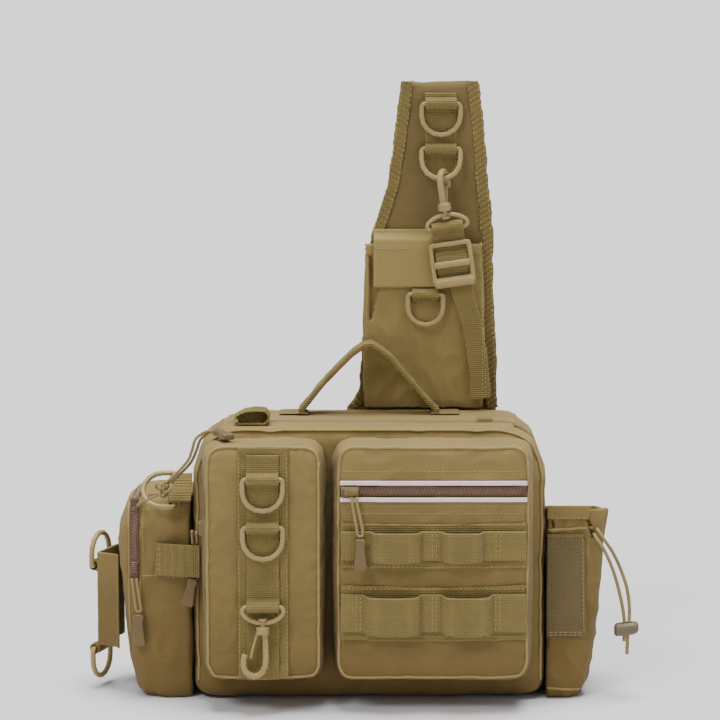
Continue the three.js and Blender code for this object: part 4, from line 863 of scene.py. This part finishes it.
def bent_bail(node, body, lean=0, turned=False):
    """A bail with round shoulders, from half its outline in shares of its half width and height."""
    low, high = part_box(node)
    middle = (low + high) / 2
    way = Vector((math.cos(lean), 0, math.sin(lean)))
    up = Vector((-math.sin(lean), 0, math.cos(lean)))
    half_wide = ((high.x - low.x) / 2 - bail_wire) * math.cos(lean)
    half_tall = (high.z - low.z) / 2 - bail_wire - half_wide * math.sin(lean) * 0.5
    outline = [(a, -b if turned else b) for a, b in bail_outline]
    loop = outline + [(-a, b) for a, b in reversed(outline[:-1])]
    route = [middle + way * a * half_wide + up * b * half_tall for a, b in loop]
    route, _ = smooth_route(route, step=0.001)
    mesh = tube_mesh(node, route, bail_wire, sides=14)
    show(node + "_moulded", mesh, moulded, body, [node])


bent_bail("swivel_ring", "swivel_bail")
bent_bail("snap_bail", "bag", lean=strap_lean, turned=True)
d_ring("front_ring_upper", "upper_front_ring")
d_ring("front_ring_lower", "lower_front_ring")
d_ring("pad_ring_upper", "upper_pad_ring")
d_ring("pad_ring_lower", "bag", up=(0, 0.309, 0.951))
d_ring("flap_ring", "flap_d_ring")
d_ring("side_ring", "side_d_ring", across=(0, 0.6561, 0.7547), up=(1, 0, 0))
rod_across = (-0.3681, -0.9298, 0)
d_ring("rod_ring_upper", "upper_rod_ring", rod_across, up=(0, 0, -1))
d_ring("rod_ring_lower", "lower_rod_ring", rod_across)
moulded_piece("swivel_hook", moulded, body="hook")
moulded_piece("snap_hook", moulded)
moulded_piece("ladder_lock", moulded)

# The ladder lock's grip bar crosses its window in front of the webbing, and a thick lip runs below.
lock_low, lock_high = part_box("ladder_lock")
lock_middle = (lock_low + lock_high) / 2
lock_way = Vector((math.cos(strap_lean), 0, math.sin(strap_lean)))
lock_up = Vector((-math.sin(strap_lean), 0, math.cos(strap_lean)))
bar_set_back = 0.0004


def lock_bar(name, half_long, thick, high, tall):
    """A bar from post to post that is taller than it is thick, at a height on the ladder lock."""
    middle = lock_middle + lock_up * high
    route = [middle + lock_way * t for t in np.linspace(-half_long, half_long, 13)]
    mesh = tube_mesh(name, route, thick / 2, sides=16)
    places = coordinates(mesh)
    rise = (places - np.array(middle)) @ np.array(lock_up)
    places += np.array(lock_up) * (rise * (tall / thick - 1))[:, None]
    places[:, 1] += lock_low.y + bar_set_back - lock_middle.y
    put_back(mesh, places)
    show(name, mesh, moulded, "bag")


lock_bar("ladder_lock_bar", half_long=0.0135, thick=0.0032, high=-0.0005, tall=0.0052)
lock_bar("ladder_lock_lip", half_long=0.0150, thick=0.0030, high=-0.0148, tall=0.0066)


# End pockets: a rounded pocket with a zip on the left, and an open bottle pouch on the right,
# gathered by its drawcord at the mouth. The pouch is a skin with an inner side, open on top.
left_end_mesh = remade_mesh("left_end_pocket", grain=0.0024, filled=True)
set_back(left_end_mesh, "left_end_zip", room=0.0006, deep=0.0022)
creased(left_end_mesh, deep=0.0022, size=0.05, seed=31, stretch=(1, 1, 0.6))
left_end = show("left_end_pocket_cloth", left_end_mesh, cloth_tan, "bag", ["left_end_pocket"])


def sewn_line(name, surface, rays, radius):
    """A thin piping or seam on the cloth, where rays from outside meet it."""
    spots = [surface.ray_cast(*ray)[0] for ray in rays]
    route, _ = smooth_route([spot for spot in spots if spot is not None], step=0.0016)
    show(name, tube_mesh(name, route, radius), piping_tan, "bag")


# Two narrow welts run beside its zip, up the front and over the top, and a seam crosses below it.
end_surface = surface_of(left_end)
zip_low, zip_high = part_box("left_end_zip")
welt_gap, line_step, seam_height = 0.0004, 0.003, 0.0944
for k, x in enumerate((zip_low.x - welt_gap, zip_high.x + welt_gap)):
    rays = [from_front(x, z) for z in np.arange(0.050, 0.143, line_step)]
    rays += [from_above(x, y) for y in np.arange(-0.033, 0.034, line_step)]
    sewn_line("left_end_welt_%d" % k, end_surface, rays, radius=0.0008)
rays = [from_front(x, seam_height) for x in np.arange(-0.168, -0.1325, line_step)]
sewn_line("left_end_seam", end_surface, rays, radius=0.0005)


def opened(mesh, rim, thick, slope=0, front=0):
    """Takes the top off a filled form and gives the skin that is left an inner side."""
    form = bmesh.new()
    form.from_mesh(mesh)
    centres = [(f, f.calc_center_median()) for f in form.faces]
    lid = [f for f, centre in centres if centre.z + slope * (centre.y - front) > rim]
    bmesh.ops.delete(form, geom=lid, context="FACES")
    form.to_mesh(mesh)
    form.free()
    worker = working_piece(mesh)
    skin = worker.modifiers.new("skin", "SOLIDIFY")
    skin.thickness = thick
    skin.offset = -1
    return worked_mesh(worker)


low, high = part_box("right_end_pocket")
pouch_mesh = remade_mesh("right_end_pocket", grain=0.0015, rounds=4, filled=True)
creased(pouch_mesh, deep=0.002, size=0.05, seed=37, stretch=(1, 1, 0.6))
gather_reach, gather_deep, gather_pitch = 0.022, 0.0011, 0.014
places = coordinates(pouch_mesh)
ways = directions(pouch_mesh)
gather = gather_deep * np.exp(-(high.z - places[:, 2]) / gather_reach)
ripple = np.sin((places[:, 0] + places[:, 1] * 0.8) * 2 * math.pi / gather_pitch)
places += ways * (gather * (ripple - 1))[:, None]

# Two slits let the drawcord out of the hem, and the mouth falls off towards the bag's back.
slits = (
    {"x": 0.1345, "top": 0.1365, "end": 0.1305, "wide": 0.0030},
    {"x": 0.1610, "top": 0.1365, "end": 0.1225, "wide": 0.0075},
)
slit_deep = 0.0045
facing = np.clip(-ways[:, 1], 0, 1)
for slit in slits:
    down = np.clip((slit["top"] - places[:, 2]) / (slit["top"] - slit["end"]), 0, 1)
    left_edge = slit["x"] + slit["wide"] * 0.5 * down
    right_edge = slit["x"] + slit["wide"] * (0.25 + 0.75 * down)
    inside = (places[:, 0] > left_edge) & (places[:, 0] < right_edge)
    inside &= (places[:, 2] < slit["top"]) & (places[:, 2] > slit["end"])
    places[:, 1] += slit_deep * facing * inside
mouth_slope, slope_from = 0.16, 0.100
near_mouth = np.clip((places[:, 2] - slope_from) / (high.z - slope_from), 0, 1)
places[:, 2] -= mouth_slope * (places[:, 1] - low.y) * near_mouth
put_back(pouch_mesh, places)
pouch_mesh = opened(pouch_mesh, high.z - 0.0035, thick=0.0018, slope=mouth_slope, front=low.y)
pouch = show("right_end_pocket_cloth", pouch_mesh, cloth_tan, "bag", ["right_end_pocket"])

# The drawcord raises a ridge below the hem, and a piping runs along the pouch's foot.
pouch_surface = surface_of(pouch)
start_x, ridge_z, ridge_slope, foot_z, foot_slope = 0.132, 0.1288, 0.05, 0.0085, -0.08
rays = [
    from_front(x, ridge_z + (x - start_x) * ridge_slope)
    for x in np.arange(0.1325, 0.1665, line_step)
]
sewn_line("drawcord_ridge", pouch_surface, rays, radius=0.0011)
rays = [
    from_front(x, foot_z + (x - start_x) * foot_slope)
    for x in np.arange(0.1325, 0.172, line_step)
]
sewn_line("pouch_foot_piping", pouch_surface, rays, radius=0.0009)
hem_mesh = remade_mesh("right_end_hem", grain=0.0009)
show("right_end_hem_cloth", hem_mesh, cloth_tan, "bag", ["right_end_hem"])
elastic_rib = ribbed("elastic_rib", "#70613c", pitch=0.0016, depth=0.0005, gaps=0.75)
elastic_mesh = remade_mesh("elastic_panel", grain=0.0009, rounds=2)
show("elastic_panel_rib", elastic_mesh, elastic_rib, "bag", ["elastic_panel"])


# Rod loop: a band of cloth on the left end pocket that holds a rod upright.
# Its front and back bulge, as the cloth springs open.
loop_bulge, loop_wall = 0.0032, 0.004
loop_mesh = remade_mesh("rod_loop", grain=0.0009, rounds=2)
low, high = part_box("rod_loop")
places = coordinates(loop_mesh)
from_middle = (places[:, 0] - (low.x + high.x) / 2) / ((high.x - low.x) / 2)
bulge = loop_bulge * np.cos(np.clip(from_middle, -1, 1) * math.pi / 2)
places[:, 1] -= bulge * (places[:, 1] < low.y + loop_wall)
places[:, 1] += bulge * (places[:, 1] > high.y - loop_wall)
put_back(loop_mesh, places)
show("rod_loop_cloth", loop_mesh, cloth_tan, "bag", ["rod_loop"])


# Shoulder pad: foam between two cloth faces, bound with webbing on both edges.
# It swells a little between its seams, which a short cloth simulation gives it.
def swollen(mesh, pressure, reach):
    """Lets air pressure fill a closed cloth form, with each point kept near its start."""
    start = coordinates(mesh)
    worker = working_piece(mesh)
    cloth = worker.modifiers.new("cloth", "CLOTH")
    cloth.settings.use_pressure = True
    cloth.settings.uniform_pressure_force = pressure
    cloth.settings.effector_weights.gravity = 0
    cloth.settings.quality = 4
    scene = bpy.context.scene
    for step in range(1, 21):
        scene.frame_set(step)
    shape = worker.evaluated_get(bpy.context.evaluated_depsgraph_get())
    moved = bpy.data.meshes.new_from_object(shape)
    bpy.data.objects.remove(worker)
    scene.frame_set(1)
    places = coordinates(moved)
    drift = places - start
    far = np.linalg.norm(drift, axis=1)
    drift *= np.minimum(1, reach / np.maximum(far, 1e-9))[:, None]
    put_back(moved, start + drift)
    return moved


pad_mesh = remade_mesh("shoulder_pad", grain=0.0035)
pad_mesh = swollen(pad_mesh, pressure=4, reach=0.0012)
creased(pad_mesh, deep=0.0012, size=0.06, seed=53)
# The pad's cloth is darker than the body's: partly its own browner tone, partly painted shade.
pad_cloth = woven("pad_cloth", "#705e36", pitch=0.0012, depth=0.0003, darker=0.84, patch=16)
pad = show("shoulder_pad_cloth", pad_mesh, pad_cloth, "bag", ["shoulder_pad"])

# The pad's pocket has a hem that stands a little proud along its mouth.
hem_wide, hem_proud = 0.0095, 0.0007
low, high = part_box("pad_pocket")
pad_pocket_mesh = remade_mesh("pad_pocket", grain=0.0012, filled=True)
creased(pad_pocket_mesh, deep=0.0014, size=0.04, seed=61, stretch=(1, 1, 0.5))
places = coordinates(pad_pocket_mesh)
facing = np.clip(-directions(pad_pocket_mesh)[:, 1], 0, 1)
places[:, 1] -= hem_proud * facing * (places[:, 2] > high.z - hem_wide)

# Its left side is folded in a pleat: a narrow slit that is widest a third of the way down.
pleat_top, pleat_wide, pleat_bottom = 0.326, 0.306, 0.271
pleat_x, pleat_reach, pleat_deep = 0.0005, 0.0085, 0.0052
share = np.where(
    places[:, 2] > pleat_wide,
    (pleat_top - places[:, 2]) / (pleat_top - pleat_wide),
    (places[:, 2] - pleat_bottom) / (pleat_wide - pleat_bottom),
)
slit = np.clip(share, 0, 1) * pleat_reach
inside = (places[:, 0] > pleat_x) & (places[:, 0] < pleat_x + slit) & (slit > 0.001)
places[:, 1] += pleat_deep * facing * inside
put_back(pad_pocket_mesh, places)
# The pad pocket's cloth is a little lighter than the body's: painted light where the body and handle
# shade it.
pad_pocket_cloth = woven("pad_pocket_weave", "#8d7a48", pitch=0.0012, depth=0.0003, darker=0.82, patch=18)
pad_pocket_mesh = opened(pad_pocket_mesh, high.z - 0.002, thick=0.0014)
show("pad_pocket_cloth", pad_pocket_mesh, pad_pocket_cloth, "bag", ["pad_pocket"])
flap_cloth = woven("flap_cloth", "#93814c", pitch=0.0012, depth=0.0003, darker=0.88, patch=20)
flap_mesh = remade_mesh("pad_flap", grain=0.0009, rounds=4)
flap = show("pad_flap_cloth", flap_mesh, flap_cloth, "bag", ["pad_flap"])


# Stitches: rows of single thread stitches that hold the straps, hems and bindings down.
# Each stitch is a short rounded bar laid on the cloth below it, a little sunk in.
thread, nodes, links, shader = new_material("sewing_thread", roughness=0.6)
mixed_tone(nodes, links, shader, "#8f7c4c", darker=0.7, size=500)
stitch_pitch, thread_half = 0.0032, 0.00032


def seam(*points):
    """A row of stitches through points that are each given by x and z in millimetres."""
    return [Vector((x, 0, z)) / 1000 for x, z in points]


def stitched(name, pieces, rows):
    """Stitches along the rows, laid where rays from the front meet the pieces."""
    surfaces = [surface_of(bpy.data.objects[piece]) for piece in pieces]
    bars = []
    for row in rows:
        for a, b in zip(row, row[1:]):
            count = max(1, int((b - a).length / stitch_pitch))
            along = (b - a).normalized()
            for i in range(count):
                place = a + (b - a) * ((i + 0.5) / count)
                hits = [surface.ray_cast(*from_front(place.x, place.z)) for surface in surfaces]
                hits = [hit for hit in hits if hit[0] is not None]
                if not hits:
                    continue
                spot, facing, _, _ = min(hits, key=lambda hit: hit[3])
                lay = (along - facing * along.dot(facing)).normalized()
                across = lay.cross(facing)
                high = facing * thread_half * 1.2
                bars.append((spot, lay * stitch_pitch * 0.36, across * thread_half, high))
    show(name, small_bars(name, bars), thread, "bag")


# The front pockets: the wide webbing's edges, the rows beside the zip, and the webbing grids.
grid_left, grid_right = -20, 113
front_rows = [seam((x, 30), (x, 192)) for x in (-94.8, -60.2)]
front_rows += [seam((grid_left, z), (grid_right, z)) for z in (181, 155.5, 150)]
for x in (-8, 47, 93):
    for beside in (-1.5, 1.5):
        front_rows.append(seam((x + beside, 118), (x + beside, 136)))
        front_rows.append(seam((x + beside, 64), (x + beside, 90)))
front_rows += [seam((grid_left, z), (grid_right, z)) for z in (142, 111, 94.5, 59.5)]
stitched("front_stitches", (
    "left_pocket_wide_webbing_weave", "ring_webbing_weave", "molle_band_upper_weave",
    "molle_loops_upper_weave", "molle_band_lower_weave", "molle_loops_lower_weave",
    "left_pocket_cloth", "right_pocket_cloth"), front_rows)

# The left end pocket: two rows under the cross seam, a zigzag beside the zip, and the strap's end.
side_rows = [seam((-167.5, z), (-133, z)) for z in (94.4, 93.2)]
side_rows.append(seam(*[(-167.7 + (1.1 if i % 2 else -1.1), 112 + i * 1.5) for i in range(22)]))
side_rows += [seam((x, 98), (x, 117)) for x in (-157, -155)]
stitched("side_stitches", ("left_end_pocket_cloth", "left_end_strap_weave"), side_rows)

# The pad: two rows along each binding, across the webbing and the hem, and down the pocket's sides.
pad_right_edge = (
    (83, 457), (86, 436), (89, 405), (92, 367), (94.4, 336), (95, 297), (96.7, 259), (98, 213),
)
pad_left_edge = (
    (23.5, 457), (21, 436), (16.6, 405), (12, 378), (5, 355), (0.6, 340), (-2.4, 317),
)
binding_rows = (2.2, 9.4)
pad_rows = [seam(*[(x - inset, z) for x, z in pad_right_edge]) for inset in binding_rows]
pad_rows += [seam(*[(x + inset, z) for x, z in pad_left_edge]) for inset in binding_rows]
pad_rows += [seam((31, 338), (51, 337.6)), seam((5, 330), (30, 330)), seam((80, 330), (86, 330))]
pad_rows += [seam((x, 212), (x, 328)) for x in (-2, 86)]
stitched("pad_stitches", (
    "shoulder_pad_cloth", "pad_pocket_cloth", "pad_flap_cloth", "pad_binding_left_weave",
    "pad_binding_right_weave", "pad_webbing_weave", "adjuster_webbing_weave"), pad_rows)

# The bottle pouch: its hem, and the elastic's foot and right edge.
pouch_rows = [seam((133, 138.4), (160, 138.4)), seam((133, 50), (158, 50)), seam((133, 52), (158, 52))]
pouch_rows.append(seam((159.3, 52), (157.6, 123)))
stitched("pouch_stitches", (
    "right_end_pocket_cloth", "elastic_panel_rib", "right_end_hem_cloth"), pouch_rows)

bpy.context.view_layer.update()
